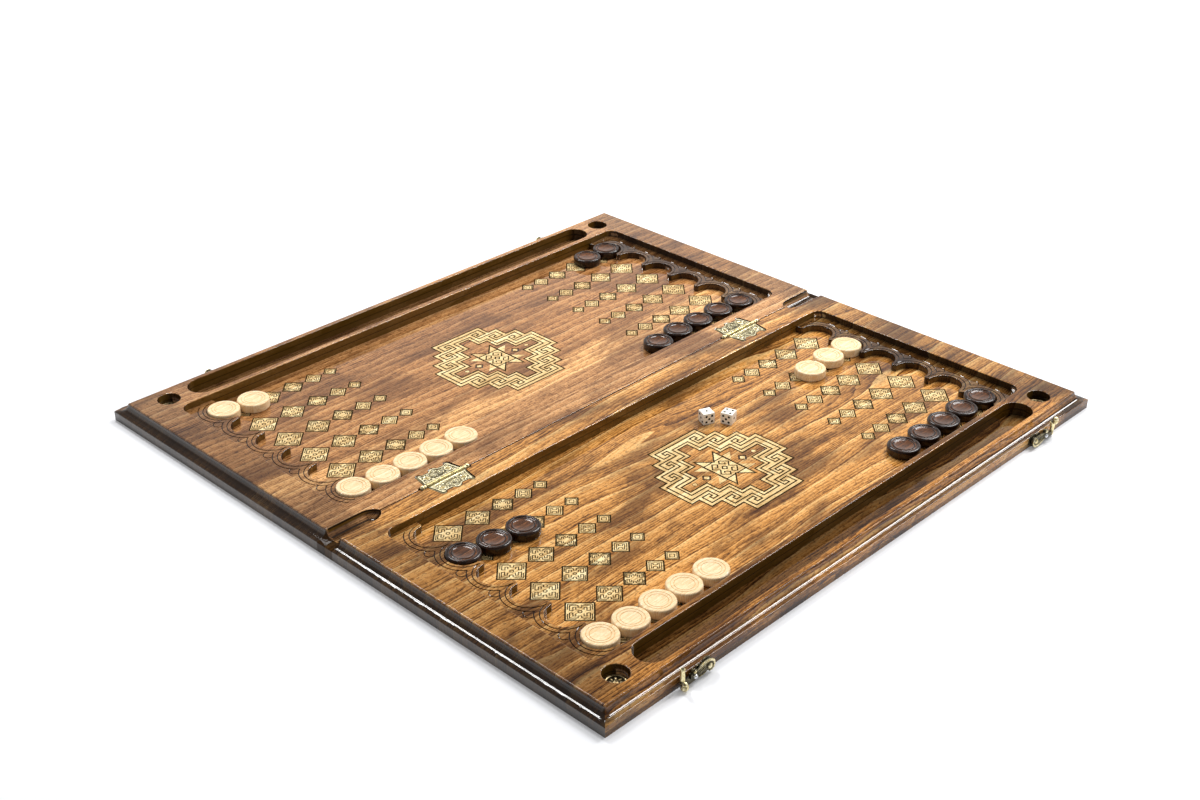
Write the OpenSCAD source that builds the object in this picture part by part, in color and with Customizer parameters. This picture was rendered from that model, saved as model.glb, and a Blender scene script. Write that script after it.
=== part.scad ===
// Folding wooden backgammon board, lying open, with its checkers and dice.
// Millimetres. Z is up, the hinge line is the Y axis, and the board rests on z = 0.
// The half with the hook clasps is at +X, the half with the catches is at -X.

/* [Board] */
// Width of one half, from the hinge line to its outer face
half_w = 292; // [289:0.5:298]
// Length of the board along the hinge line
board_l = 600; // [590:1:640]
// Thickness of one half
half_h = 16; // [15:0.5:20]
// Wood left under the playing field and the trays
floor_t = 4; // [3:0.5:5]
// Gap between the halves, open and folded shut
seam = 0.3; // [0.2:0.05:0.5]

/* [Edge moulding] */
// How far the moulding reaches in from the outer faces
mould_w = 9; // [8:0.1:10]
// Width of the flat lip below the cove
lip_w = 3.3; // [2.5:0.1:4]
// Small upright step above the cove
step_h = 1; // [0.5:0.1:2]

/* [Finger notches] */
// How far the notch at each end of the hinge line reaches into a half
notch_w = 8; // [7.2:0.1:9.5]
// Length of the notch before it curves out
notch_l = 42; // [30:1:48]
// Radius of the curve that ends the notch
notch_r = 13; // [11:0.5:15]

/* [Playing field] */
// Rim between the hinge line and the field
hinge_border = 25.5; // [24:0.5:27]
// Rim between the tray and the outer face
outer_border = 14; // [13:0.5:16]
// Rim between the field and the board's end
end_border = 36; // [34:1:44]
// Corner radius of the field
field_corner = 9.5; // [6:0.5:11]
// Ledge left between the field's side walls and the outer scallops
side_land = 7.5; // [6.5:0.1:8.5]
// Distance from the field's end wall to the scallops' centres
ledge_l = 29.5; // [27:0.5:32]
// Depth of the scalloped ledge below the rim
ledge_depth = 6; // [4:0.5:7.5]
// Play of a checker in its scallop, all round
scallop_play = 0.6; // [0.5:0.05:0.8]
// Width of the engraved lines on the ledge
arc_w = 0.9; // [0.6:0.1:1.2]
// Depth of the engraved lines on the ledge
arc_depth = 0.5; // [0.3:0.1:1]
// Distance from a scallop's edge to the first engraved arc
arc_first = 3.2; // [2.6:0.1:3.4]
// Distance from the first engraved arc to the second
arc_step = 4.1; // [3.5:0.1:4.5]

/* [Trays] */
// Width of the tray for borne-off checkers
slot_w = 26; // [24.5:0.5:27]
// Rail between the tray and the field
rail_w = 5.5; // [4:0.5:7]
// Distance from the board's end to the tray's end
slot_inset = 59; // [56:1:70]

/* [Corner wells] */
// Diameter of the round well in each outer corner
well_d = 19.5; // [18:0.5:21]
// Distance from the board's end to the well's centre
well_inset = 38; // [34:0.5:42]
// Depth of the well
well_depth = 8.7; // [7:0.1:9.5]
// Thickness of the metal disc in the well
disc_t = 1.2; // [0.8:0.1:2]
// Gap round the disc
disc_gap = 0.7; // [0.3:0.1:1]

/* [Carved ornament] */
// Depth of the carved points and medallions
carve = 0.4; // [0.2:0.1:0.8]
// Gap between the largest diamonds of neighbouring points
diamond_side = 3.9; // [2.5:0.1:6]
// How much smaller each next diamond is
diamond_step = 3.9; // [3:0.1:5]
// Bridge between neighbouring diamonds
diamond_gap = 0.6; // [0.4:0.1:1.5]
// Distance from the scallops' centres to the largest diamond's centre
point_offset = 15; // [14:0.5:18]
// Half the width of the medallion
medal_w = 58.9; // [50:0.1:62]
// Half the height of the medallion
medal_h = 60.2; // [52:0.1:64]
// Width of the medallion's band
band_w = 13.7; // [12:0.1:14]
// How far the steps inside the band lie below those outside it
band_drop = 24.4; // [23:0.1:25]

/* [Hinges] */
// Distance from the board's end to a hinge's centre
hinge_inset = 119.6; // [100:0.2:140]
// Width of a hinge leaf from the hinge line
leaf_w = 17.7; // [16.5:0.1:20]
// Length of a hinge leaf at its barrel
leaf_l = 39.2; // [38:0.2:42]
// Thickness of a hinge leaf
leaf_t = 1.2; // [1:0.1:1.4]
// Gap between a leaf and the edge of its recess
leaf_gap = 0.8; // [0.3:0.1:1]
// Diameter of the hinge barrel
barrel_d = 4; // [3.6:0.1:4.6]
// Diameter of the hinge pin
pin_d = 2; // [1.6:0.1:2.2]
// Play of the pin in its barrel, all round
pin_play = 0.05; // [0.05:0.01:0.1]
// Gap between moving pieces of the metal fittings
run_gap = 0.3; // [0.25:0.05:0.4]
// Shank diameter of the hinge screws
screw_d = 2; // [1.6:0.1:2.2]
// Length of the hinge screws
screw_l = 8; // [6:0.5:10]

/* [Clasps] */
// Distance from the near end to the near hook's pivot
near_inset = 97; // [90:1:130]
// Distance from the far end to the far hook's pivot
far_inset = 91; // [88:1:130]
// Height of the hook pivots
clasp_z = 6; // [5.8:0.1:6.6]
// Height of the catches on the other half
catch_z = 5.4; // [5:0.1:6]
// Thickness of the clasp and catch plates
plate_t = 1.2; // [0.8:0.1:1.4]
// Thickness of a hook
hook_t = 2.2; // [1.8:0.1:2.4]
// Diameter of a hook's pivot rivet
rivet_d = 2.6; // [2.2:0.1:3]
// Neck diameter of a catch knob
neck_d = 3.5; // [3:0.1:3.8]
// Head diameter of a catch knob
knob_d = 7.4; // [7:0.1:7.8]
// How far the knobs and finger balls stand out from the faces
reach = 8.2; // [8:0.1:9.5]
// Play of a knob's neck in the hook's mouth, all round
mouth_play = 0.35; // [0.3:0.05:0.45]
// Diameter of the finger ball on a hook
ball_d = 6; // [5:0.1:6.2]

/* [Checkers and dice] */
// Diameter of a checker
checker_d = 27.8; // [26.5:0.1:28.2]
// Thickness of a checker
checker_t = 8; // [7:0.5:9]
// Radius of a checker's edges
checker_edge = 1.2; // [0.6:0.1:2]
// Gap between checkers of a row
checker_gap = 0.3; // [0.3:0.05:0.6]
// Edge length of a die
die_s = 10.5; // [9:0.5:12]
// Diameter of a pip
pip_d = 1.9; // [1.4:0.1:2.1]

/* [Hidden] */
$fn = 64;
over = 1;
rows = [-1, 1];
columns = 6;
// Board
rim_z = half_h;
axis_z = half_h + seam / 2;
face_x = seam / 2;
end_y = board_l / 2;
// Moulding
cove_r = mould_w - lip_w;
cove_z = half_h - step_h;
lip_z = cove_z - cove_r;
// Field
field_x = hinge_border;
field_w = half_w - hinge_border - rail_w - slot_w - outer_border;
field_y = end_y - end_border;
field_mid = field_x + field_w / 2;
scallop_r = checker_d / 2 + scallop_play;
scallop_y = field_y - ledge_l;
column_pitch = (field_w - 2 * side_land - 2 * scallop_r) / (columns - 1);
tip_r = column_pitch / 2 - scallop_r;
side_tip = 3.2;
arc_1 = scallop_r + arc_first;
arc_2 = arc_1 + arc_step;
arc_meet = scallop_y + sqrt(arc_2 * arc_2 - column_pitch * column_pitch / 4);
acorn_r = 4.4;
// Trays and wells
slot_x = half_w - outer_border - slot_w / 2;
slot_y = end_y - slot_inset - slot_w / 2;
well_y = end_y - well_inset;
well_z = rim_z - well_depth;
disc_r = well_d / 2 - disc_gap;
// Ornament
diamonds = 5;
diamond_first = column_pitch - diamond_side;
band_outer = [[medal_w * 0.305, medal_h], [medal_w * 0.53, medal_h * 0.857],
              [medal_w * 0.76, medal_h * 0.658], [medal_w, medal_h * 0.49]];
band_inner = [for (i = [0:3])
    [band_outer[i][0] - band_w, band_outer[i][1] - (i == 0 ? band_w : band_drop)]];
star_in = 12.4;
star_out = 25;
star_tall = 22.6;
accent_y = 22.2;
accent_s = 10;
dot_y = 36.4;
dot_d = 4.6;
// Hinges
hinge_y = end_y - hinge_inset;
knuckle_split = 7;
knuckle_gap = 0.2;
groove_r = barrel_d / 2 + 0.4;
finial_r = barrel_d / 2 + 0.1;
collar_l = 1.5;
screw_x = 9.4;
screw_y = 11;
screw_head = 2.1;
thread_play = 0.05;
// Clasps
hook_reach = 2 * axis_z - clasp_z - catch_z;
mouth_h = 1.5;
mouth_r = neck_d / 2 + mouth_play;
hook_x = plate_t + 0.8;
boss_r = 3.4;
rivet_head = 2.4;
stud_s = hook_reach - 5;
bead_s = hook_reach - 5.6;
spindle_s = hook_reach + 5.6;
ball_low = run_gap + ball_d / 2 - clasp_z;
ball_high = 10.4;
plate_r = 5.5;
toe_r = 3.6;
toe_s = 8;
nail_d = 1.2;
nail_l = 6;
nail_head = 1.1;
head_t = 3;
dome_h = 2;
stud_r = 2.2;
// Places of the checkers: half, column, end, then for each checker how far it lies beside
// the column's line and how much farther than touching it lies from the one before it
first_play = 0.4;
pale_stacks = [
    [-1, 5, -1, [[0.3, 0], [3.7, 0]]],
    [-1, 0, -1, [[0, 0], [2.3, 0], [2.4, 0], [1.9, 0], [0.8, 0]]],
    [1, 1, 1, [[0.4, 3], [1.5, 0], [5, 3]]],
    [1, 5, -1, [[-0.3, 0], [2.2, 0], [1.9, 0], [1.9, 0], [3.2, 0]]]
];
dark_stacks = [
    [-1, 5, 1, [[0.3, 2], [1.2, 0]]],
    [-1, 0, 1, [[-0.3, 0], [-1.6, 0.6], [-1.1, 1.2], [-0.7, 0.7], [2.5, 2.5]]],
    [1, 1, -1, [[-0.2, 0], [3, 0], [5.3, 0]]],
    [1, 5, 1, [[-0.2, 0], [0, 0], [0.9, 0.3], [1.3, 0.8], [1.1, 0.8]]]
];
// Places of the dice, measured from the field's middle: x, y, turn, then pips on top, on the
// +X side and on the -Y side
dice = [
    [-59.5, 45.5, -22, [1, 5, 3]],
    [-45.9, 58.2, 16, [4, 1, 5]]
];

function column_x(k) = field_mid + (k - (columns - 1) / 2) * column_pitch;
function diamond(i) = diamond_first - i * diamond_step;
function diamond_y(i) = i == 0 ? scallop_y - point_offset
    : diamond_y(i - 1) - (diamond(i - 1) + diamond(i)) / 2 - diamond_gap;
function step_back(s, i, run) = sqrt(run * run - pow(s[3][i][0] - s[3][i - 1][0], 2));
function stack_y(s, i) = i == 0 ? scallop_y + first_play - s[3][0][1]
    : stack_y(s, i - 1) - step_back(s, i, checker_d + checker_gap) - s[3][i][1];
function places(stacks) = [
    for (s = stacks) for (i = [0:len(s[3]) - 1])
        [s[0] * column_x(s[1]) + s[3][i][0], s[2] * stack_y(s, i)]
];
pale_places = places(pale_stacks);
dark_places = places(dark_stacks);
function two_digits(i) = str(i < 10 ? "0" : "", i);
function pale_name(i) = str("checker_pale_", two_digits(i + 1));
function dark_name(i) = str("checker_dark_", two_digits(i + 1));

// Outlines

module both_ways() {
    children();
    mirror([0, 1, 0]) children();
}

module four_ways() {
    both_ways() {
        children();
        mirror([1, 0, 0]) children();
    }
}

module round_rect(x0, x1, y, r) {
    translate([x0, -y + r]) square([x1 - x0, 2 * (y - r)]);
    translate([x0 + r, -y]) square([x1 - x0 - 2 * r, 2 * y]);
    for (x = [x0 + r, x1 - r], s = rows) translate([x, s * (y - r)]) circle(r);
}

// The deep part of the field: six scallops at each end, with rounded fingers between them
module field_floor() {
    difference() {
        union() {
            translate([field_x, -scallop_y]) square([field_w, 2 * scallop_y]);
            for (k = [0:columns - 1], s = rows) translate([column_x(k), s * scallop_y]) circle(scallop_r);
        }
        for (s = rows) {
            for (k = [1:columns - 1])
                translate([column_x(k) - column_pitch / 2, s * scallop_y]) circle(tip_r);
            side_finger(s, field_x, column_x(0) - scallop_r, 1);
            side_finger(s, field_x + field_w, column_x(columns - 1) + scallop_r, -1);
        }
    }
}

module side_finger(s, wall, edge, way) {
    translate([edge - way * side_tip, s * scallop_y]) circle(side_tip);
    translate([min(wall, edge - way * side_tip), min(s * scallop_y, s * (scallop_y - side_tip))])
        square([abs(edge - wall) - side_tip, side_tip]);
}

module ring_line(r) {
    difference() {
        circle(r + arc_w / 2);
        circle(r - arc_w / 2);
    }
}

// Two arcs round one scallop, kept to its own column and outside the scallops' centres
module scallop_arcs() {
    intersection() {
        for (r = [arc_1, arc_2]) ring_line(r);
        translate([-column_pitch / 2, 0]) square([column_pitch, arc_2 + arc_w]);
    }
}

// A small acorn between the second arcs of two columns
module acorn() {
    difference() {
        translate([0, arc_meet + acorn_r + arc_w / 2]) ring_line(acorn_r);
        for (s = rows) translate([s * column_pitch / 2, scallop_y]) circle(arc_2 + arc_w / 2);
    }
}

module ledge_lines() {
    both_ways() {
        for (k = [0:columns - 1]) translate([column_x(k), scallop_y]) scallop_arcs();
        for (k = [1:columns - 1]) translate([column_x(k) - column_pitch / 2, 0]) acorn();
    }
}

module point_diamonds() {
    both_ways() for (k = [0:columns - 1], i = [0:diamonds - 1])
        translate([column_x(k), diamond_y(i)]) rotate(45) square(diamond(i) / sqrt(2), center = true);
}

// Stepped cross outline, one quadrant of corners mirrored into the other three
module stepped_cross(corners) {
    four_ways() for (c = corners) square(c);
}

module star() {
    square(2 * star_in, center = true);
    four_ways() {
        polygon([[star_in, 0], [star_out, star_in], [star_in, star_in]]);
        polygon([[star_in + 1.6 - (star_tall - star_in), star_in], [star_in + 1.6, star_tall],
                 [star_in + 1.6, star_in]]);
    }
}

module medallion() {
    difference() {
        stepped_cross(band_outer);
        stepped_cross(band_inner);
    }
    star();
    for (s = rows) {
        translate([0, s * accent_y]) rotate(45) square(accent_s / sqrt(2), center = true);
        translate([0, s * dot_y]) circle(d = dot_d);
    }
}

// Seen from above: a leaf on the +X side of the hinge line, grown all round by g
module leaf_outline(g) {
    corner = [leaf_w - 3.2, leaf_l / 2 - 2.8];
    polygon([[0, -leaf_l / 2 - g], [corner[0] + g / 2, -corner[1] - g], [corner[0] + g, -corner[1] + 2],
             [corner[0] + g, corner[1] - 2], [corner[0] + g / 2, corner[1] + g], [0, leaf_l / 2 + g]]);
    for (s = rows) translate([leaf_w - 2.6, s * (leaf_l / 2 - 5)]) circle(2.3 + g);
    translate([leaf_w - 4, 0]) circle(4 + g);
}

// Cutters and wooden panels

// Moulding cut along a face of length l: lip, cove and step, with u measured in from the face
module mould_cutter(l, w) {
    lip = w - cove_r;
    translate([-over, -l / 2, lip_z]) cube([lip + over, l, half_h]);
    translate([-over, -l / 2, cove_z]) cube([w + over, l, half_h]);
    translate([lip, l / 2, cove_z]) rotate([90, 0, 0]) cylinder(r = cove_r, h = l);
}

module outer_moulding() {
    translate([half_w, 0, 0]) mirror([1, 0, 0]) mould_cutter(board_l + 2 * over, mould_w);
    both_ways() translate([half_w / 2, end_y, 0]) rotate(-90)
        mould_cutter(half_w + 2 * over, mould_w);
}

module finger_notch() {
    run_y = end_y - notch_l;
    lip = notch_r - cove_r;
    translate([face_x, run_y + (notch_l + over) / 2, 0]) mould_cutter(notch_l + over, notch_w);
    translate([face_x + notch_w - notch_r, run_y, 0]) {
        translate([0, 0, cove_z]) cylinder(r = notch_r, h = half_h);
        translate([0, 0, lip_z]) cylinder(r = lip, h = half_h);
        translate([0, 0, cove_z]) rotate_extrude() translate([lip, 0]) circle(cove_r);
    }
}

module panel_cuts() {
    cut_h = half_h;
    outer_moulding();
    both_ways() finger_notch();
    translate([0, 0, rim_z - ledge_depth]) linear_extrude(cut_h)
        round_rect(field_x, field_x + field_w, field_y, field_corner);
    translate([0, 0, floor_t]) linear_extrude(cut_h) field_floor();
    translate([0, 0, rim_z - ledge_depth - arc_depth]) linear_extrude(arc_depth + over) ledge_lines();
    translate([0, 0, floor_t - carve]) linear_extrude(carve + over) {
        point_diamonds();
        translate([field_mid, 0]) medallion();
    }
    translate([slot_x, 0, floor_t]) linear_extrude(cut_h) {
        square([slot_w, 2 * slot_y], center = true);
        both_ways() translate([0, slot_y]) circle(d = slot_w);
    }
    both_ways() {
        translate([slot_x, well_y, well_z]) cylinder(d = well_d, h = cut_h);
        translate([0, hinge_y, 0]) hinge_seat();
    }
}

module hinge_seat() {
    l = leaf_l + 2 * (collar_l + 2 * finial_r + 1);
    translate([0, 0, rim_z - leaf_t]) linear_extrude(half_h) leaf_outline(leaf_gap);
    translate([0, l / 2, axis_z]) rotate([90, 0, 0]) cylinder(r = groove_r, h = l);
    for (s = rows) translate([screw_x, s * screw_y, rim_z - screw_l - 0.5])
        cylinder(d = screw_d + 2 * thread_play, h = screw_l);
}

module panel() {
    difference() {
        translate([face_x, -end_y, 0]) cube([half_w - face_x, board_l, half_h]);
        panel_cuts();
    }
}

module panel_right() {
    color("peru") difference() {
        panel();
        clasp_places() {
            side_hole(0, 0, rivet_d, nail_l + 2);
            plate_nail_holes(toe_s, 0);
        }
    }
}

module panel_left() {
    color("sienna") difference() {
        mirror([1, 0, 0]) panel();
        catch_places() plate_nail_holes(-toe_s, toe_s);
    }
}

module well_disc(side, end) {
    color("darkgoldenrod") translate([side * slot_x, end * well_y, well_z]) difference() {
        cylinder(r = disc_r, h = disc_t);
        translate([0, 0, disc_t - 0.4]) difference() {
            cylinder(r = disc_r - 1.2, h = over);
            translate([0, 0, -over]) cylinder(r = disc_r - 3.2, h = 3 * over);
        }
    }
}

// Hinges

module barrel(y0, y1, r) {
    translate([0, y1, axis_z]) rotate([90, 0, 0]) cylinder(r = r, h = y1 - y0);
}

module leaf_blank() {
    translate([0, 0, rim_z - leaf_t]) linear_extrude(leaf_t) leaf_outline(0);
}

module screw_seats() {
    for (s = rows) translate([screw_x, s * screw_y, rim_z - leaf_t]) {
        translate([0, 0, -over]) cylinder(d = screw_d + 2 * thread_play, h = 3 * over);
        cylinder(r1 = screw_d / 2 + thread_play, r2 = screw_head + thread_play, h = leaf_t + 0.01);
    }
}

// The right leaf has the middle knuckle
module leaf_right() {
    clear = barrel_d / 2 + run_gap;
    difference() {
        union() {
            difference() {
                leaf_blank();
                barrel(-leaf_l, leaf_l, clear);
            }
            intersection() {
                leaf_blank();
                barrel(-knuckle_split, knuckle_split, clear + over);
            }
            barrel(-knuckle_split, knuckle_split, barrel_d / 2);
        }
        barrel(-leaf_l, leaf_l, pin_d / 2 + pin_play);
        screw_seats();
    }
}

// The left leaf, drawn on the +X side, has the two outer knuckles
module leaf_left() {
    clear = barrel_d / 2 + run_gap;
    inner = knuckle_split + knuckle_gap;
    difference() {
        union() {
            difference() {
                leaf_blank();
                barrel(-inner, inner, clear);
            }
            both_ways() barrel(inner, leaf_l / 2, barrel_d / 2);
        }
        barrel(-leaf_l, leaf_l, pin_d / 2 + pin_play);
        screw_seats();
    }
}

module hinge_leaf_right(end) {
    color("khaki") translate([0, end * hinge_y, 0]) leaf_right();
}

module hinge_leaf_left(end) {
    color("khaki") translate([0, end * hinge_y, 0]) mirror([1, 0, 0]) leaf_left();
}

module hinge_pin(end) {
    collar_y = leaf_l / 2 + knuckle_gap;
    color("gold") translate([0, end * hinge_y, 0]) {
        barrel(-collar_y - collar_l, collar_y + collar_l, pin_d / 2);
        both_ways() {
            barrel(collar_y, collar_y + collar_l, barrel_d / 2 - 0.4);
            translate([0, collar_y + collar_l + 0.85 * finial_r, axis_z]) sphere(r = finial_r);
        }
    }
}

module countersunk_screw() {
    difference() {
        union() {
            translate([0, 0, rim_z - screw_l]) cylinder(d = screw_d, h = screw_l - 0.1);
            translate([0, 0, rim_z - leaf_t])
                cylinder(r1 = screw_d / 2, r2 = screw_head - 0.1, h = leaf_t - 0.1);
        }
        translate([-screw_head, -0.25, rim_z - 0.5]) cube([2 * screw_head, 0.5, 1]);
    }
}

module hinge_screws(side) {
    color("goldenrod") for (end = rows, s = rows)
        translate([side * screw_x, end * hinge_y + s * screw_y, 0]) countersunk_screw();
}

// Clasps. A place is turned so that local X runs out from the face, local Y is up
// and local Z runs along the face towards the nearer end of the board.

module near_clasp_place() {
    translate([half_w, near_inset - end_y, clasp_z]) rotate([90, 0, 0]) children();
}

module far_clasp_place() {
    mirror([0, 1, 0]) translate([half_w, far_inset - end_y, clasp_z]) rotate([90, 0, 0]) children();
}

module clasp_places() {
    near_clasp_place() children();
    far_clasp_place() children();
}

module near_catch_place() {
    translate([-half_w, near_inset - end_y + mouth_h, catch_z]) mirror([1, 0, 0]) rotate([90, 0, 0])
        children();
}

module far_catch_place() {
    mirror([0, 1, 0]) translate([-half_w, far_inset - end_y + mouth_h, catch_z]) mirror([1, 0, 0])
        rotate([90, 0, 0]) children();
}

module catch_places() {
    near_catch_place() children();
    far_catch_place() children();
}

// A round bar along local X at height h and distance s along the face
module side_bar(s, h, x0, x1, r) {
    translate([x0, h, s]) rotate([0, 90, 0]) cylinder(r = r, h = x1 - x0);
}

// A piece turned about local X, drawn with its radius along X and its length along Y
module turned(s, h) {
    translate([0, h, s]) rotate([0, 90, 0]) rotate_extrude() children();
}

// Profiles for turned(): a plain length from x0 to x1, and a cap of height t that stands at x0
module bar_profile(x0, x1, r) {
    translate([0, x0]) square([r, x1 - x0]);
}

module dome_profile(x0, r, t) {
    ball = (r * r + t * t) / (2 * t);
    intersection() {
        translate([0, x0 + t - ball]) circle(ball, $fn = 180);
        translate([0, x0]) square([r + over, t + over]);
    }
}

module side_hole(s, h, d, depth) {
    side_bar(s, h, -depth - 0.5, over, d / 2 + thread_play);
}

module plate_nail_holes(s0, s1) {
    for (s = [s0, s1]) if (s != 0) side_hole(s, 0, nail_d, nail_l);
}

module clasp_plate() {
    color("khaki") difference() {
        union() {
            side_bar(0, 0, 0, plate_t, plate_r);
            side_bar(toe_s, 0, 0, plate_t, toe_r);
        }
        side_bar(0, 0, -over, plate_t + over, rivet_d / 2 + thread_play);
        side_bar(toe_s, 0, -over, plate_t + over, nail_d / 2 + thread_play);
    }
}

module rivet() {
    inner = hook_x + hook_t + run_gap;
    turned(0, 0) {
        bar_profile(-nail_l - 2, inner, rivet_d / 2);
        dome_profile(inner, rivet_head, 1.4);
    }
}

module nail(s) {
    turned(s, 0) {
        bar_profile(-nail_l, plate_t, nail_d / 2);
        dome_profile(plate_t, nail_head, 0.6);
    }
}

module clasp_rivets() {
    color("gold") clasp_places() rivet();
}

module clasp_nails() {
    color("goldenrod") clasp_places() nail(toe_s);
}

// The hook lies along the face with its mouth upwards: boss, arm, cheek, mouth and spindle
module hook_body(ball_up) {
    outer = hook_x + hook_t;
    ball_h = ball_up ? ball_high : ball_low;
    difference() {
        union() {
            side_bar(0, 0, plate_t + run_gap, outer, boss_r);
            hook_arm(hook_x, outer);
            side_bar(stud_s, -0.4, hook_x, outer, 3);
            side_bar(bead_s, 3.4, hook_x, outer, 1.9);
            hook_spindle(ball_up);
        }
        side_bar(0, 0, 0, reach, rivet_d / 2 + 0.05);
        side_bar(hook_reach, mouth_h, 0, reach, mouth_r);
        translate([0, mouth_h, hook_reach - mouth_r]) cube([reach, 12, 2 * mouth_r]);
        side_bar(stud_s, -0.4, 0, reach, 1 + thread_play);
    }
    translate([reach - ball_d / 2, ball_h, spindle_s]) sphere(d = ball_d - (ball_up ? 0.8 : 0));
}

module hook_arm(x0, x1) {
    s1 = stud_s;
    s2 = spindle_s;
    translate([x1, 0, 0]) rotate([0, -90, 0]) linear_extrude(x1 - x0)
        polygon([[0, 1.9], [s1, 1.9], [s1 + 3, 2.6], [s1 + 3, -0.6], [s2 - 1.5, -0.2], [s2 + 0.5, -1.5],
                 [s2, -4.4], [s1 + 2, -4.4], [s1 - 6, -3.2], [0, -2.6]]);
}

// The upright end of the hook: a tapered finger, widest next to its ball
module hook_spindle(ball_up) {
    low = ball_up ? -4.4 : -1;
    high = ball_up ? 8.4 : 11.7;
    wide = 2.1;
    thin = 1.1;
    x = hook_x + hook_t / 2;
    translate([x, low, spindle_s]) rotate([-90, 0, 0])
        cylinder(r1 = ball_up ? thin : wide, r2 = ball_up ? wide : thin, h = high - low);
    intersection() {
        translate([reach - ball_d / 2, ball_up ? 8.4 : -1, spindle_s]) sphere(r = 2.3);
        translate([hook_x, -6, spindle_s - 4]) cube([reach, 20, 8]);
    }
}

module hook_near() {
    color("palegoldenrod") near_clasp_place() hook_body(false);
}

module hook_far() {
    color("palegoldenrod") far_clasp_place() hook_body(true);
}

module stud() {
    outer = hook_x + hook_t;
    turned(stud_s, -0.4) {
        bar_profile(hook_x, outer, 1);
        dome_profile(outer, stud_r, 1.9);
    }
}

module hook_stud_near() {
    color("silver") near_clasp_place() stud();
}

module hook_stud_far() {
    color("silver") far_clasp_place() stud();
}

// A mushroom knob on a plate with a nail at each side
module catch_knob() {
    color("khaki") difference() {
        union() {
            for (s = rows) side_bar(s * toe_s, 0, 0, plate_t, 2.6);
            translate([0, -2, -toe_s]) cube([plate_t, 4, 2 * toe_s]);
            turned(0, 0) {
                bar_profile(0, plate_t, 4.6);
                bar_profile(0, reach - dome_h, neck_d / 2);
                bar_profile(reach - head_t, reach - dome_h, knob_d / 2);
                dome_profile(reach - dome_h, knob_d / 2, dome_h);
            }
        }
        for (s = rows) side_bar(s * toe_s, 0, -over, plate_t + over, nail_d / 2 + thread_play);
    }
}

module catch_nails() {
    color("goldenrod") catch_places() for (s = rows) nail(s * toe_s);
}

// Checkers and dice

module edge_profile(r, t, e) {
    translate([0, e]) square([r, t - 2 * e]);
    square([r - e, t]);
    for (y = [e, t - e]) translate([r - e, y]) circle(e);
}

// One face of a checker: a turned groove inside the rim and a dished middle
module face_cuts(r, groove_w, groove_d, dish_r, dish_d) {
    ball = (dish_r * dish_r + dish_d * dish_d) / (2 * dish_d);
    translate([r - groove_w, -over]) square([groove_w, groove_d + over]);
    translate([0, dish_d - ball]) circle(ball, $fn = 360);
}

module checker(p, dark) {
    r = checker_d / 2;
    groove_w = dark ? 1 : 0.7;
    groove_d = dark ? 0.8 : 0.4;
    dish_r = r - (dark ? 4.6 : 4.2);
    dish_d = dark ? 1 : 0.6;
    translate([p[0], p[1], floor_t]) rotate_extrude() intersection() {
        difference() {
            edge_profile(r, checker_t, checker_edge);
            face_cuts(r - 2.4, groove_w, groove_d, dish_r, dish_d);
            translate([0, checker_t]) mirror([0, 1]) face_cuts(r - 2.4, groove_w, groove_d, dish_r, dish_d);
        }
        translate([0, -over]) square([r + over, checker_t + 2 * over]);
    }
}

module checker_pale(p) {
    color("cornsilk") checker(p, false);
}

module checker_dark(p) {
    color("#2a1208") checker(p, true);
}

// Pips of one face, drawn on the XY plane around the face's middle
module pips(n) {
    q = die_s * 0.25;
    if (n % 2 == 1) circle(d = pip_d);
    if (n > 1) for (s = rows) translate([s * q, s * q]) circle(d = pip_d);
    if (n > 3) for (s = rows) translate([s * q, -s * q]) circle(d = pip_d);
    if (n == 6) for (s = rows) translate([s * q, 0]) circle(d = pip_d);
}

module pip_cuts(n) {
    translate([0, 0, die_s / 2 - 0.35]) linear_extrude(over) pips(n);
}

module die(d) {
    top = d[3][0];
    side_x = d[3][1];
    side_y = d[3][2];
    color("ivory") translate([field_mid + d[0], d[1], floor_t + die_s / 2]) rotate(d[2]) difference() {
        intersection() {
            cube(die_s, center = true);
            sphere(r = die_s * 0.755);
        }
        pip_cuts(top);
        rotate([180, 0, 0]) pip_cuts(7 - top);
        rotate([0, 90, 0]) pip_cuts(side_x);
        rotate([0, -90, 0]) pip_cuts(7 - side_x);
        rotate([90, 0, 0]) pip_cuts(side_y);
        rotate([-90, 0, 0]) pip_cuts(7 - side_y);
    }
}

panel_right();
well_disc(1, -1);  // well_disc_right_near
well_disc(1, 1);  // well_disc_right_far
hinge_leaf_right(-1);  // hinge_leaf_right_near
hinge_leaf_right(1);  // hinge_leaf_right_far
hinge_screws(1);  // hinge_screws_right
near_clasp_place() clasp_plate();  // clasp_plate_near
far_clasp_place() clasp_plate();  // clasp_plate_far
clasp_rivets();
clasp_nails();
panel_left();
well_disc(-1, -1);  // well_disc_left_near
well_disc(-1, 1);  // well_disc_left_far
hinge_leaf_left(-1);  // hinge_leaf_left_near
hinge_leaf_left(1);  // hinge_leaf_left_far
hinge_screws(-1);  // hinge_screws_left
hinge_pin(-1);  // hinge_pin_near
hinge_pin(1);  // hinge_pin_far
near_catch_place() catch_knob();  // catch_near
far_catch_place() catch_knob();  // catch_far
catch_nails();
hook_near();
hook_far();
hook_stud_near();
hook_stud_far();
die(dice[0]);  // die_1
die(dice[1]);  // die_2
for (i = [0:len(pale_places) - 1])
    checker_pale(pale_places[i]);
for (i = [0:len(dark_places) - 1])
    checker_dark(dark_places[i]);
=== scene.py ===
# %% [markdown]
# A carved folding backgammon board, lying open
#
# The two wooden halves, their hinges, clasps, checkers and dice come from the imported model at
# their true size. This lesson gives them their finish: lacquered wood, pale carving, old brass,
# turned checkers. Whatever the plain solids only block out is modelled again, piece by piece.

# %% Load the frame
import math

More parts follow.
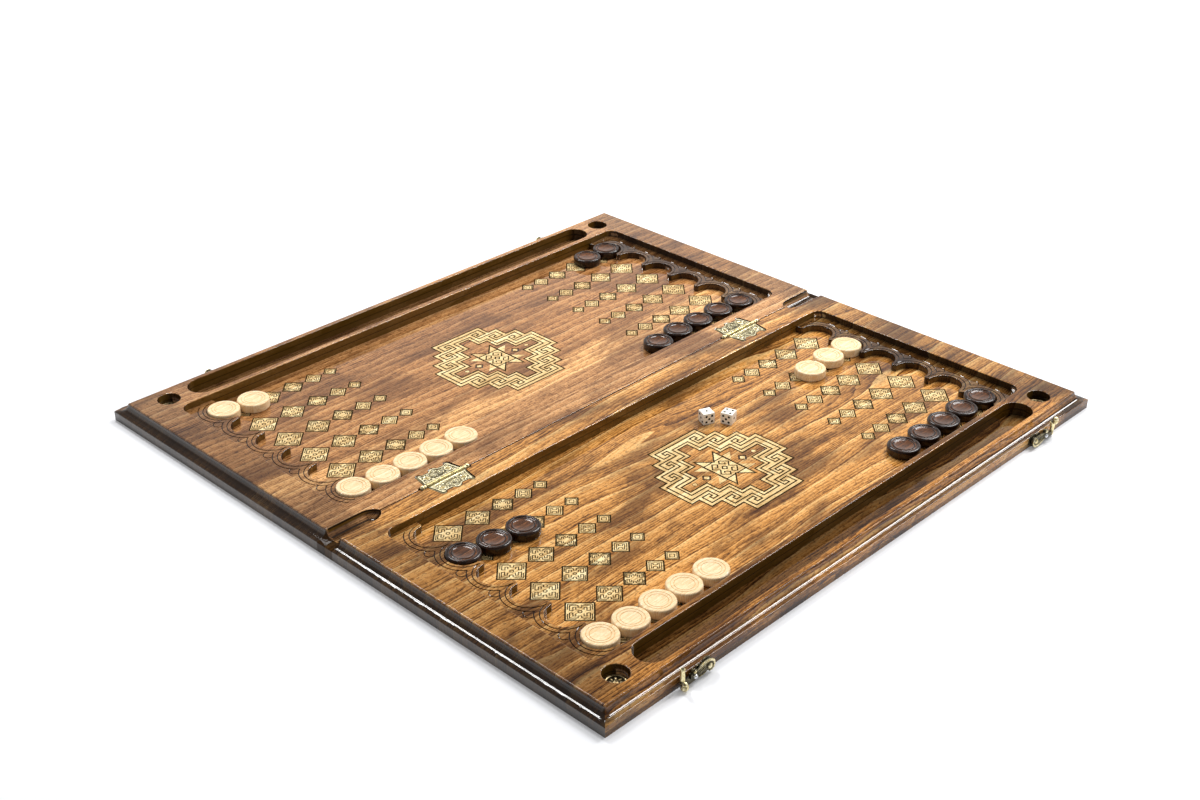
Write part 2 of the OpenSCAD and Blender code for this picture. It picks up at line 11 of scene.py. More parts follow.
import bmesh
import bpy
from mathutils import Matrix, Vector


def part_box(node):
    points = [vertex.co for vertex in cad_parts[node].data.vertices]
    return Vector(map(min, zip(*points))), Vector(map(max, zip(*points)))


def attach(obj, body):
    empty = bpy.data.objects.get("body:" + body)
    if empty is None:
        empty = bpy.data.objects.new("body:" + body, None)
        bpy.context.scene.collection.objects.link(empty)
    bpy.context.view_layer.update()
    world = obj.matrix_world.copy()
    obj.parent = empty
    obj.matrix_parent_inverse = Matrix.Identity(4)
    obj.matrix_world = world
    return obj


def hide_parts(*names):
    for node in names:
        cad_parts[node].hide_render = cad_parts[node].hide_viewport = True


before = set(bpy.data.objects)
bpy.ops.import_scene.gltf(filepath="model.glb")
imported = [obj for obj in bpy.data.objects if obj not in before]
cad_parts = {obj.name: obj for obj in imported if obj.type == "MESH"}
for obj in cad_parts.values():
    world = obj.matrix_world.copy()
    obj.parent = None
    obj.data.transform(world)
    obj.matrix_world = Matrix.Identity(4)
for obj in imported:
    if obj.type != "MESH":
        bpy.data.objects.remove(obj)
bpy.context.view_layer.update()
bpy.ops.object.select_all(action="DESELECT")
MM = 0.001

# %% [markdown]
# The camera stands where the photographer stood: a little right of the board's near corner and
# about thirty degrees above the table. A lens of about 50 mm from a metre and a half keeps the
# far corner from shrinking too much. Its place could be found by eye, but it is worked out from
# where the board's own corners, edges and rows lie, which also gives every proportion.

# %% Camera
AZIMUTH = math.radians(44.301)
ELEVATION = math.radians(29.31)
DISTANCE = 1.442268
LENS = 49.483
LOOK_AT = Vector((-0.01938, 0.014447, 0))
back = Vector((
    math.sin(AZIMUTH) * math.cos(ELEVATION),
    -math.cos(AZIMUTH) * math.cos(ELEVATION),
    math.sin(ELEVATION),
))
bpy.ops.object.camera_add(location=LOOK_AT + back * DISTANCE)
camera = bpy.context.object
camera.rotation_euler = (-back).to_track_quat("-Z", "Y").to_euler()
camera.data.sensor_width = 36
camera.data.lens = LENS
camera.data.clip_start = 0.01
camera.data.clip_end = 50
bpy.context.scene.camera = camera
print("camera at", [round(v, 3) for v in camera.location])

# %% [markdown]
# Every material here is a small tree of nodes. It could be wired by hand in the shader editor,
# but a tree of fifty nodes is easier to read and change as a few lines of sums. So these helpers
# each add one node, fill its sockets and hand back its result. Colours are written as a painter
# would pick them, and turned into the linear values that the renderer mixes.

# %% Node helpers
def rgb(code):
    """A written colour such as "a86a32" as linear red, green, blue and alpha."""
    parts = [int(code[i:i + 2], 16) / 255 for i in (0, 2, 4)]
    return tuple(p / 12.92 if p <= 0.04045 else ((p + 0.055) / 1.055) ** 2.4 for p in parts) + (1,)


def add(tree, kind, inputs=None, **settings):
    """Adds a node, sets its properties, and links or sets the sockets named in inputs."""
    made = tree.nodes.new("ShaderNode" + kind)
    for name, value in settings.items():
        setattr(made, name, value)
    for name, value in (inputs or {}).items():
        if isinstance(value, bpy.types.NodeSocket):
            tree.links.new(value, made.inputs[name])
        else:
            made.inputs[name].default_value = value
    return made


def calc(tree, operation, *values, clamp=False):
    """The result of one arithmetic step on sockets or numbers."""
    inputs = dict(enumerate(values))
    return add(tree, "Math", inputs, operation=operation, use_clamp=clamp).outputs[0]


def times(tree, first, *others):
    """The product of sockets or numbers."""
    for other in others:
        first = calc(tree, "MULTIPLY", first, other)
    return first


print("the written colour c08a4a is", [round(c, 3) for c in rgb("c08a4a")])

# %% [markdown]
# Grain, tarnish and stain are noise that is stretched, or masks that fade smoothly from one value
# to another. A picture could hold them, but it would blur close up and show where it repeats.
# Noise stays sharp at any distance, and its sizes are true millimetres on the piece.

# %% Masks and patterns
def blend(tree, factor, a, b, mode="MIX"):
    """Two colours mixed by a factor."""
    made = add(tree, "Mix", {0: factor, 6: a, 7: b}, data_type="RGBA", blend_type=mode)
    return made.outputs[2]


def step(tree, value, low, high, to_low=0.0, to_high=1.0):
    """Nought below low, one above high and smooth between them, or between two other values."""
    made = add(tree, "MapRange", {0: value, 1: low, 2: high, 3: to_low, 4: to_high},
               interpolation_type="SMOOTHSTEP")
    return made.outputs[0]


def mm_step(tree, value, low, high, to_low=0.0, to_high=1.0):
    """The same, between two sizes in millimetres."""
    return step(tree, value, low * MM, high * MM, to_low, to_high)


def noise(tree, vector, scale, detail=2.0, roughness=0.5, distortion=0.0):
    """A cloud of values about a half."""
    made = add(tree, "TexNoise", {"Vector": vector, "Scale": scale, "Detail": detail,
                                  "Roughness": roughness, "Distortion": distortion})
    return made.outputs[0]


def stretch(tree, vector, x, y, z, shift=(0, 0, 0)):
    """The place on the piece, with each axis scaled, so that a pattern runs long or short."""
    made = add(tree, "Mapping", {"Vector": vector, "Scale": (x, y, z), "Location": shift})
    return made.outputs[0]


def ramp(tree, value, stops, kind="LINEAR"):
    """A colour read off a row of stops, each a place from nought to one and a written colour."""
    made = add(tree, "ValToRGB", {0: value})
    made.color_ramp.interpolation = kind
    row = made.color_ramp.elements
    while len(row) < len(stops):
        row.new(0.5)
    for element, (place, code) in zip(row, stops):
        element.position = place
        element.color = rgb(code)
    return made.outputs[0]


print("pattern helpers ready")

# %% [markdown]
# Each material starts as one all-round shader. What is the same all over is set on the shader's
# own sockets, and only what changes over the surface is linked. Patterns could lie in the room's
# space, but then the grain would slide over the wood when a half is folded. So they lie in the
# space of the piece itself.

# %% Material helpers
def new_material(name, **settings):
    """A material with one Principled BSDF, its plain values set on its own sockets."""
    material = bpy.data.materials.new(name)
    material.use_nodes = True
    tree = material.node_tree
    shader = tree.nodes["Principled BSDF"]
    for socket, value in settings.items():
        shader.inputs[socket.replace("_", " ")].default_value = value
    place = add(tree, "TexCoord").outputs["Object"]
    return material, tree, shader, place


def feed(shader, **sockets):
    """Links results to the sockets of a material's shader."""
    for socket, value in sockets.items():
        shader.id_data.links.new(value, shader.inputs[socket.replace("_", " ")])


def paint(obj, *materials):
    """Gives an object these materials and no others."""
    obj.data.materials.clear()
    for material in materials:
        obj.data.materials.append(material)


print("material helpers ready")

# %% [markdown]
# The photograph was taken on a white table in soft, even light, so the room here is a white
# floor, a white sky and three soft lamps. A pure white floor would wash the board out if it
# came from more light, so the floor is a plain pale matt surface that is topped up to white only
# where the camera or a polished surface looks at it. It still darkens where the board shades it,
# and it is topped up more far away, where the lamps no longer reach.

# %% Floor
FLOOR_SIZE = 12
FLOOR_TOP_UP = 0.13
FAR_TOP_UP = 0.8
LAMPS_FADE = (0.5, 1.8)


def seen_directly(tree):
    """One where the camera looks, straight, by a mirror or through glass, and nought elsewhere."""
    path = add(tree, "LightPath").outputs
    seen = calc(tree, "MAXIMUM", path["Is Camera Ray"], path["Is Glossy Ray"])
    return calc(tree, "MAXIMUM", seen, path["Is Transmission Ray"])


bpy.ops.mesh.primitive_plane_add(size=FLOOR_SIZE)
floor = bpy.context.object
floor.name = "floor"
material, tree, shader, place = new_material(
    "white_table", Base_Color=rgb("e6e7ea"), Roughness=0.9)
reach = add(tree, "VectorMath", {0: place}, operation="LENGTH").outputs["Value"]
top_up = step(tree, reach, *LAMPS_FADE, FLOOR_TOP_UP, FAR_TOP_UP)
glow = add(tree, "Emission", {
    "Color": rgb("ffffff"), "Strength": times(tree, seen_directly(tree), top_up)})
both = add(tree, "AddShader", {0: shader.outputs[0], 1: glow.outputs[0]})
tree.links.new(both.outputs[0], tree.nodes["Material Output"].inputs["Surface"])
paint(floor, material)
print("floor:", FLOOR_SIZE, "m wide")

# %% [markdown]
# The sky gives the even light that comes from all sides. The camera sees it plain white, and
# brass and lacquer mirror it. An even white sky would do for a matt object, but lacquer that
# mirrors a bright sky turns grey, so in mirrors it is dimmer towards the camera and overhead.

# %% Sky
SKY_LIGHT = 0.42
CAMERA_SIDE = (0.7, -0.7, 0)
DIM_SIDE = 0.35
SIDE_FADE = (-0.1, 0.5)
DIM_TOP = 0.25
TOP_FADE = (0.36, 0.62)

world = bpy.data.worlds.new("white_room")
bpy.context.scene.world = world
world.use_nodes = True
tree = world.node_tree
way = add(tree, "TexCoord").outputs["Generated"]
toward = add(tree, "VectorMath", {0: way, 1: CAMERA_SIDE}, operation="DOT_PRODUCT")
height = add(tree, "SeparateXYZ", {0: way}).outputs[2]
room = times(tree, step(tree, toward.outputs["Value"], *SIDE_FADE, 1.0, DIM_SIDE),
             step(tree, height, *TOP_FADE, 1.0, DIM_TOP))
mirrored = calc(tree, "MAXIMUM", room, add(tree, "LightPath").outputs["Is Camera Ray"])
shine = add(tree, "MixRGB", {0: seen_directly(tree), 1: (SKY_LIGHT,) * 3 + (1,), 2: mirrored})
tree.links.new(shine.outputs[0], tree.nodes["Background"].inputs["Color"])
bpy.context.scene.view_settings.view_transform = "Standard"
print("sky ready, its light:", SKY_LIGHT)

# %% [markdown]
# On the real board polish shows as thin bright lines, where a rounded edge, the cove or the lip
# mirrors a lamp. A small lamp would leave mere dots there, and a wide one overhead would veil the
# whole board in grey. So three long strips hang level at the left and behind the board, where
# only the edges mirror them to the camera. They also give it its soft shadow on the table.

# %% Lamps
LAMP_Z = 1.8
LAMPS = {"left_lamp": (-1.27, 0.28, 0.95, 0.36, 30), "middle_lamp": (-0.3, 1.75, 0.2, 1.8, 24),
         "far_lamp": (0.34, 1.75, 0.44, 1.8, 50)}


def lamp(name, x, y, along_x, along_y, power):
    """A strip lamp that hangs level and shines down."""
    bpy.ops.object.light_add(type="AREA", location=(x, y, LAMP_Z))
    made = bpy.context.object
    made.name = name
    made.data.shape = "RECTANGLE"
    made.data.size = along_x
    made.data.size_y = along_y
    made.data.energy = power


for name, look in LAMPS.items():
    lamp(name, *look)
print("lamps:", list(LAMPS))

# %% [markdown]
# Nearly everything here is wood: the board, the pale carving and the checkers. Its figure could
# be built again in each material, but then a change would have to be made in each. So it becomes
# a node group, which is built once and takes its widths and colours as named inputs. This helper
# makes an empty group with its sockets.

# %% Group helper
def new_group(name, inputs, outputs):
    """An empty shader node group with these sockets, and its two end nodes."""
    group = bpy.data.node_groups.new(name, "ShaderNodeTree")
    for socket, kind, value in inputs:
        made = group.interface.new_socket(socket, in_out="INPUT", socket_type="NodeSocket" + kind)
        if value is not None:
            made.default_value = value
    for socket, kind in outputs:
        group.interface.new_socket(socket, in_out="OUTPUT", socket_type="NodeSocket" + kind)
    given, result = group.nodes.new("NodeGroupInput"), group.nodes.new("NodeGroupOutput")
    return group, given.outputs, result.inputs


print("group helper ready")

# %% [markdown]
# The board's wood is a stained plank with its grain along the hinge line. A growth ring, cut
# lengthwise, shows as a bright streak with one sharp side that fades into darker wood. A wave
# texture would make it even stripes, alike on both sides. So the figure starts from a saw tooth
# across the board, bent by slow noise into the lazy waves of real grain. Patches where the stain
# took more, fine streaks and short dark pores lie over it.

# %% The wood figure
RING_TONES = [(0, "202020"), (0.03, "ffffff"), (0.10, "b4b4b4"), (0.32, "888888"),
              (0.75, "5a5a5a"), (1, "2e2e2e")]
RIPPLE_MM = 9.0
LINES_PER_RING = 5.3
MAX_STAIN = 0.7
PORE_DEPTH = 0.55


def make_wood_figure():
    """The group: a place and the wood's values in, its colour and its pores out."""
    inputs = [("Place", "Vector", None), ("Ring Width", "Float", 16.0), ("Wander", "Float", 60.0),
              ("Light Wood", "Color", rgb("c08a4a")), ("Mid Wood", "Color", rgb("94602c")),
              ("Dark Wood", "Color", rgb("4c2c14")), ("Streaks", "Float", 1.0),
              ("Stain", "Float", 1.0)]
    group, given, result = new_group(
        "wood_figure", inputs, [("Color", "Color"), ("Pores", "Float")])
    mm = add(group, "VectorMath", {0: given["Place"], 1: (1000, 1000, 1000)},
             operation="MULTIPLY").outputs[0]
    across = add(group, "SeparateXYZ", {0: mm}).outputs[0]
    slow = noise(group, stretch(group, mm, 1, 0.16, 0.6), 0.016, 2, 0.45)
    quick = noise(group, stretch(group, mm, 1, 0.2, 0.6, (31, 7, 0)), 0.07, 2, 0.5)
    bend = times(group, calc(group, "SUBTRACT", slow, 0.5), given["Wander"])
    ripple = times(group, calc(group, "SUBTRACT", quick, 0.5), RIPPLE_MM)
    shifted = calc(group, "ADD", calc(group, "ADD", across, bend), ripple)
    rings = calc(group, "DIVIDE", shifted, given["Ring Width"])
    tooth = calc(group, "FRACT", rings)
    own = add(group, "TexWhiteNoise", {"W": calc(group, "FLOOR", rings)},
              noise_dimensions="1D").outputs[0]
    edge = ramp(group, tooth, RING_TONES)
    streak = times(group, edge, calc(group, "MULTIPLY_ADD", own, 0.7, 0.45))
    fine = noise(group, stretch(group, mm, 0.9, 0.02, 0.5), 1.0, 3, 0.6)
    thin = calc(group, "FRACT", times(group, rings, LINES_PER_RING))
    lines = calc(group, "MULTIPLY_ADD", calc(group, "SUBTRACT", thin, 0.5), -0.3, 0.12)
    mottle = noise(group, stretch(group, mm, 0.4, 0.14, 0.4), 1.0, 3, 0.65)
    rough_grain = calc(group, "MULTIPLY_ADD", calc(group, "SUBTRACT", mottle, 0.5), 0.6, lines)
    grain = calc(group, "MULTIPLY_ADD", calc(group, "SUBTRACT", fine, 0.5), 0.55, rough_grain)
    light = calc(group, "MULTIPLY_ADD", streak, given["Streaks"], grain)
    patch = noise(group, stretch(group, mm, 1, 0.32, 0.5, (-25, 75, 0)), 0.03, 4, 0.6, 0.4)
    stained = calc(group, "MULTIPLY", step(group, patch, 0.44, 0.64), given["Stain"], clamp=True)
    low = blend(group, step(group, light, -0.1, 0.36), given["Dark Wood"], given["Mid Wood"])
    body = blend(group, step(group, light, 0.15, 0.85), low, given["Light Wood"])
    toned = blend(group, times(group, stained, MAX_STAIN), body, given["Dark Wood"])
    grit = noise(group, stretch(group, mm, 0.95, 0.28, 1.0), 1.0, 2, 0.6)
    pores = step(group, grit, 0.53, 0.62)
    flecked = blend(group, times(group, pores, PORE_DEPTH), toned, given["Dark Wood"])
    group.links.new(flecked, result["Color"])
    group.links.new(pores, result["Pores"])
    return group


wood_figure = make_wood_figure()


def figured(tree, place, shift, ring_width, wander, light, mid, dark, streaks, stain):
    """The wood figure with a material's own values: its colour and its pores."""
    return add(tree, "Group", {
        "Place": stretch(tree, place, 1, 1, 1, shift), "Ring Width": ring_width,
        "Wander": wander, "Light Wood": rgb(light), "Mid Wood": rgb(mid),
        "Dark Wood": rgb(dark), "Streaks": streaks, "Stain": stain}, node_tree=wood_figure).outputs


print("wood figure group:", len(wood_figure.nodes), "nodes")

# %% [markdown]
# Each half is glued up from planks, and each plank has its own tone. The stain is darker where
# the cutter went: on the ledges and in carved lines. Painted shade darkens the far ledge further,
# and also the floors of the trays and the seats round the hinge leaves. Those places could be
# painted face by face, but each change of a shape would mean painting them again. Here they are
# found by where they lie, from the board's own sizes in millimetres.

# %% Planks and hollows
HALF_W = 292
END_Y = 300
MOULD_W = 9
TRAY_X = 249
LEAF_SEAT_X = 20
FLOOR_Z = 4
LIP_Z = 9.3
LEDGE_Z = 10
LEAF_SEAT_Z = 15
RIM_Z = 16
NEAR_LEDGE_DARK = 0.35
FAR_LEDGE_STAIN_AND_SHADE = 0.75
TRAY_SHADE = 0.56
END_DARK = 0.66
RIGHT_PLANKS = [(0, "fafafa"), (0.62, "ffffff"), (0.84, "c4bfbc"), (0.94, "f0ece4")]
LEFT_PLANKS = [(0, "dcd8dc"), (0.22, "ffffff"), (0.33, "d0c6c0"), (0.64, "beb4b0"),
               (0.77, "c6c0c0")]


def between(tree, value, low, low_full, high_full, high):
    """One between two sizes in millimetres, and nought below and above."""
    return times(tree, mm_step(tree, value, low, low_full),
                 mm_step(tree, value, high_full, high, 1, 0))


def hollow_stain_and_shade(tree, out, y, z):
    """How much light the wood keeps: less on the ledges from stain, with painted shade added on the
    far one and in the trays.
    """
    # Stain on both ledges, with painted shade on top of it on the far ledge.
    ledge = times(tree, between(tree, z, LEDGE_Z - 1, LEDGE_Z - 0.9, LEDGE_Z + 0.4, LEDGE_Z + 0.6),
                  mm_step(tree, y, -100, 100, -NEAR_LEDGE_DARK, -FAR_LEDGE_STAIN_AND_SHADE))
    # Painted shade: the floors of the trays are painted darker.
    tray = times(tree, mm_step(tree, out, TRAY_X, TRAY_X + 1),
                 mm_step(tree, z, FLOOR_Z + 0.3, FLOOR_Z + 0.5, TRAY_SHADE, 0))
    return calc(tree, "SUBTRACT", calc(tree, "ADD", ledge, 1.0), tray)


def lines_and_seat_shadow(tree, out, z):
    """One on the bottoms of the carved lines, and on the seats under the hinge leaves, where it is
    painted shadow round each leaf.
    """
    in_field = between(tree, z, 1, 2, FLOOR_Z - 0.3, FLOOR_Z - 0.1)
    in_ledge = between(tree, z, LEDGE_Z - 0.8, LEDGE_Z - 0.6, LEDGE_Z - 0.3, LEDGE_Z - 0.1)
    # Painted shadow: the floor of the seat round each hinge leaf is darkened.
    seat = times(tree, between(tree, z, LEAF_SEAT_Z - 0.7, LEAF_SEAT_Z - 0.5, RIM_Z - 0.25,
                               RIM_Z - 0.05),
                 mm_step(tree, out, LEAF_SEAT_X - 0.5, LEAF_SEAT_X + 0.5, 1, 0))
    return calc(tree, "MAXIMUM", calc(tree, "MAXIMUM", in_field, in_ledge), seat)


print("planks across the right and left half:", len(RIGHT_PLANKS), len(LEFT_PLANKS))

# %% [markdown]
# A lacquered board is two layers: coloured wood below, and a clear hard coat above that mirrors
# the white room. With one glossy layer the wood's own roughness would blur what the polish
# mirrors, so the polish is the shader's own coat layer. Pocket walls are darker, partly from stain
# and partly as painted shade, and those that face +X are painted a lit golden brown, which is
# painted light. The end grain drinks up so much stain that it turns nearly black, under a coat
# that stays a little wavy, and its upright face below the lip is painted grey as a painted
# reflection of the white table. Walls and end grain are known by which way they face. Where the
# moulding runs out at the finger notches the coat is worn.

# %% The board material
def board_wood(name, planks, *figure_values):
    """Stained planks under lacquer, with painted light and shade on the pocket walls, dark lines,
    and darker end grain with a painted reflection below its lip.
    """
    material, tree, shader, place = new_material(
        name, Coat_Roughness=0.04, Coat_IOR=1.5, Specular_IOR_Level=0.0)
    figure = figured(tree, place, *figure_values)
    x, y, z = add(tree, "SeparateXYZ", {0: place}).outputs
    looks_x, _, looks_z = add(
        tree, "SeparateXYZ", {0: add(tree, "TexCoord").outputs["Normal"]}).outputs
    out, along = calc(tree, "ABSOLUTE", x), calc(tree, "ABSOLUTE", y)

    tone = ramp(tree, calc(tree, "DIVIDE", out, HALF_W * MM), planks, "CONSTANT")
    # Darker stain towards the ends, times the ledges' stain and the painted shade of the far ledge
    # and trays.
    shade = times(tree, mm_step(tree, along, 255, 268, 1.0, END_DARK),
                  hollow_stain_and_shade(tree, out, y, z))
    toned = blend(tree, 1.0, figure["Color"], tone, "MULTIPLY")
    plank = blend(tree, 1.0, toned, shade, "MULTIPLY")

    past_end = calc(tree, "SUBTRACT", along, (END_Y - MOULD_W) * MM)
    past_side = calc(tree, "SUBTRACT", out, (HALF_W - MOULD_W) * MM)
    inside = mm_step(tree, calc(tree, "MAXIMUM", past_end, past_side), -2, -1, 1.0, 0.0)
    upright = step(tree, calc(tree, "ABSOLUTE", looks_z), 0.35, 0.7, 1.0, 0.0)
    pocket = times(tree, upright, inside)
    # Painted light and shade: pocket walls facing +X are painted a lit golden brown, and the others
    # a shaded near-black.
    wall_light_and_shade = blend(tree, step(tree, looks_x, 0.8, 0.97), rgb("1a0d03"), rgb("5e420e"))
    walled = blend(tree, times(tree, pocket, 0.85), plank, wall_light_and_shade)
    # Dark carved lines, and painted shadow in the hinge seats.
    lined = blend(tree, times(tree, lines_and_seat_shadow(tree, out, z), inside, 0.9), walled, rgb("1c0f06"))

    reach = calc(tree, "SUBTRACT", past_end, calc(tree, "MAXIMUM", past_side, 0.0))
    end_grain = times(tree, mm_step(tree, reach, -0.2, 0.2), step(tree, looks_z, -0.9, -0.6))
    # Below the lip the end grain is painted grey as a painted reflection of the white table. Above
    # the lip it is dark from stain.
    end_grain_and_reflection = blend(tree, mm_step(tree, z, LIP_Z - 1.6, LIP_Z - 1.2), rgb("565452"), rgb("1a1008"))
    ended = blend(tree, times(tree, end_grain, 0.88), lined, end_grain_and_reflection)
    rough = calc(tree, "MULTIPLY_ADD", figure["Pores"], 0.15, 0.38)

    notch_end = times(tree, end_grain, mm_step(tree, out, MOULD_W, MOULD_W + 0.4, 1.0, 0.0))
    worn = calc(tree, "MAXIMUM", times(tree, pocket, 0.5), times(tree, notch_end, 0.9))
    bump = add(tree, "Bump", {"Strength": 0.15, "Distance": 0.00006,
                              "Height": calc(tree, "SUBTRACT", 1.0, figure["Pores"])})
    sanded = times(tree, noise(tree, stretch(tree, place, 1, 4, 4), 60, 3, 0.55), end_grain)
    waves = add(tree, "Bump", {"Strength": 0.3, "Distance": 0.0003, "Height": sanded})
    feed(shader, Base_Color=ended, Roughness=rough, Coat_Weight=calc(tree, "SUBTRACT", 1.0, worn),
         Normal=bump.outputs[0], Coat_Normal=waves.outputs[0])
    return material


board_finish = {
    "right": board_wood("board_wood_right", RIGHT_PLANKS, (0.02, 0.3, 0), 16, 62,
                        "f8c882", "d89448", "42200c", 0.88, 1.05),
    "left": board_wood("board_wood_left", LEFT_PLANKS, (0.4, -0.2, 0), 9, 26,
                       "ffd294", "f0b06c", "5a3014", 0.8, 0.9),
}
for side, material in board_finish.items():
    paint(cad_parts["panel_" + side], material)
print("board painted")

# %% [markdown]
# New pieces are modelled the way a modeller would by hand: a primitive is put in place, shaped in
# edit mode and finished with modifiers. Writing out lists of points and faces would also do, but
# then nobody could see how a shape came about. These helpers go in and out of edit mode, merge
# points, turn faces outwards and name a piece.

# %% Edit mode helpers
WELD = 0.000005


def only(*objects):
    """Makes these the selected objects, the last one active."""
    if bpy.context.object and bpy.context.object.mode != "OBJECT":
        bpy.ops.object.mode_set(mode="OBJECT")
    bpy.ops.object.select_all(action="DESELECT")
    for obj in objects:
        obj.select_set(True)
        bpy.context.view_layer.objects.active = obj


def edit(obj):
    """Goes into edit mode, with all of the piece selected."""
    only(obj)
    bpy.ops.object.mode_set(mode="EDIT")
    bpy.ops.mesh.select_mode(type="VERT")
    bpy.ops.mesh.select_all(action="SELECT")


def done():
    """Goes back to object mode."""
    bpy.ops.object.mode_set(mode="OBJECT")


def weld(obj):
    """Merges the points that lie on each other, and stays in edit mode."""
    edit(obj)
    bpy.ops.mesh.remove_doubles(threshold=WELD)


def face_outwards():
    """In edit mode, turns all faces outwards, and goes back to object mode."""
    bpy.ops.mesh.select_all(action="SELECT")
    bpy.ops.mesh.normals_make_consistent(inside=False)
    done()


def named(name):
    """Names the new piece and puts its place, turn and size into its mesh."""
    made = bpy.context.object
    made.name = made.data.name = name
    only(made)
    bpy.ops.object.transform_apply(location=True, rotation=True, scale=True)
    return made


print("edit mode helpers ready, points merge within", WELD / MM, "mm")

# %% [markdown]
# By hand one clicks on the faces that an operator should act on. Their numbers could be written
# down instead, but they change with every cut before them. So faces and vertices are picked by
# where they lie and which way they face.

# %% Picking
def pick(obj, kind, test):
    """In edit mode, selects just the vertices or the faces whose middle and normal pass."""
    bpy.ops.mesh.select_mode(type=kind)
    bpy.ops.mesh.select_all(action="DESELECT")
    mesh = bmesh.from_edit_mesh(obj.data)
    found = 0
    for item in {"VERT": mesh.verts, "FACE": mesh.faces}[kind]:
        middle = item.co if kind == "VERT" else item.calc_center_median()
        if test(middle / MM, item.normal):
            item.select_set(True)
            found += 1
    mesh.select_flush_mode()
    bmesh.update_edit_mesh(obj.data)
    return found


def give_second(obj, test):
    """Gives the faces whose middle and normal pass the piece's second material."""
    edit(obj)
    found = pick(obj, "FACE", test)
    obj.active_material_index = 1
    bpy.ops.object.material_slot_assign()
    done()
    return found


print("picking helpers ready")

# %% [markdown]
# The rest of a modeller's everyday steps: a block, a modifier that is applied at once, pieces
# joined, one shape cut out of another, and copies. A copy could be placed by moving its object.
# Here its mesh is moved, so that every object stays at the origin, as the model's own pieces do.

# %% Blocks, cuts and copies
def move(x=0, y=0, z=0):
    """The setting that moves what is selected by these millimetres."""
    return {"value": (x * MM, y * MM, z * MM)}


def modify(obj, kind, **settings):
    """Adds a modifier and applies it at once."""
    only(obj)
    modifier = obj.modifiers.new(kind.title(), kind)
    for name, value in settings.items():
        setattr(modifier, name, value)
    bpy.ops.object.modifier_apply(modifier=modifier.name)


def block(name, low, high):
    """A box between two corners, in millimetres."""
    low, high = Vector(low) * MM, Vector(high) * MM
    bpy.ops.mesh.primitive_cube_add(size=1, location=(low + high) / 2)
    bpy.context.object.scale = high - low
    return named(name)


def join(name, *objects):
    """Joins pieces into one. The last one gives its place and its first materials."""
    only(*objects)
    bpy.ops.object.join()
    made = bpy.context.object
    made.name = made.data.name = name
    return made


def cut(obj, cutter):
    """Takes the cutter's shape out of the piece, and throws the cutter away."""
    modify(obj, "BOOLEAN", object=cutter, operation="DIFFERENCE", solver="EXACT")
    bpy.data.objects.remove(cutter)


def copy(obj, name):
    """A copy with its own mesh."""
    made = obj.copy()
    made.data = obj.data.copy()
    made.name = made.data.name = name
    bpy.context.scene.collection.objects.link(made)
    return made


def shift_mesh(obj, x=0, y=0, z=0, turn=0, mirror_x=False):
    """Turns, mirrors or moves the mesh itself, so that the object stays at the origin."""
    edit(obj)
    if turn:
        bpy.ops.transform.rotate(
            value=-math.radians(turn), orient_axis="Z", center_override=(0, 0, 0))
    if mirror_x:
        bpy.ops.transform.resize(value=(-1, 1, 1), center_override=(0, 0, 0))
        bpy.ops.mesh.flip_normals()
    bpy.ops.transform.translate(**move(x, y, z))
    done()


print("modelling helpers ready")

# %% [markdown]
# A routed board has no sharp corner left on it: sanding and lacquer round every edge, and those
# rounds catch the light as thin white lines. The edges could be chosen by how sharp they are, but
# that would take the carving's recesses too. So an edge is chosen where a wall drops from the
# rim, the ledge or the lip, and on the outline of the two ends, but not at the hinge seats.

# %% Which edges are rounded
LEVELS = (RIM_Z, LEDGE_Z, LIP_Z)
HINGE_SEAT_X = 22
HINGE_SEAT_Y = (158, 203)


def drops_from(edge, level):
    """Whether a flat face at this height meets a wall that goes down about a millimetre or more."""
    if len(edge.link_faces) != 2 or not edge.is_convex:
        return False
    if any(abs(v.co.z / MM - level) > 0.05 for v in edge.verts):
        return False
    wall, flat = sorted(edge.link_faces, key=lambda face: abs(face.normal.z))
    lowest = min(v.co.z for v in wall.verts) / MM
    return abs(wall.normal.z) < 0.5 and flat.normal.z > 0.9 and lowest < level - 0.95


def is_outline(edge):
    """Whether an edge runs level between an upright face and a flatter one."""
    return abs(edge.verts[0].co.z - edge.verts[1].co.z) < 0.02 * MM and edge.is_convex and (
        abs(edge.link_faces[0].normal.z - edge.link_faces[1].normal.z) > 0.5)


def is_rounded(edge):
    """Whether an edge of a half gets a round: a drop, or the outline of its two ends."""
    middle = (edge.verts[0].co + edge.verts[1].co) / 2 / MM
    by_hinge = abs(middle.x) < HINGE_SEAT_X and HINGE_SEAT_Y[0] < abs(middle.y) < HINGE_SEAT_Y[1]
    drop = not by_hinge and any(drops_from(edge, level) for level in LEVELS)
    at_end = all(abs(v.co.y) / MM > END_Y - 0.1 and v.co.z > 0 for v in edge.verts)
    return drop or (at_end and is_outline(edge))


print("edges are rounded at", LEVELS, "mm and at the ends")

# %% [markdown]
# A bump at the edges would only pretend a round, and not in the mesh. So each half is copied from
# its model, its flat faces are merged, and the chosen edges are bevelled. Weighted normals smooth
# the small rounds, and each broad face keeps its own normal, so that it mirrors like a flat one.
# A few straight cuts near the corners come first, so that the long cove keeps one even curve up
# to its mitres. At the two ends the lip below the cove is sanded to a slight slope, which mirrors
# the lamp.

# %% Rounded halves
EDGE_ROUND = 0.8
LIP_SLOPE = 1.0
CUT_FROM_END = 44
BROAD = 20
LEVEL = 0.9999


def slice_across(axis, places):
    """Cuts all faces along flat planes, in edit mode, and keeps both sides."""
    for place in places:
        bpy.ops.mesh.select_all(action="SELECT")
        bpy.ops.mesh.bisect(plane_co=Vector(axis) * place * MM, plane_no=axis)


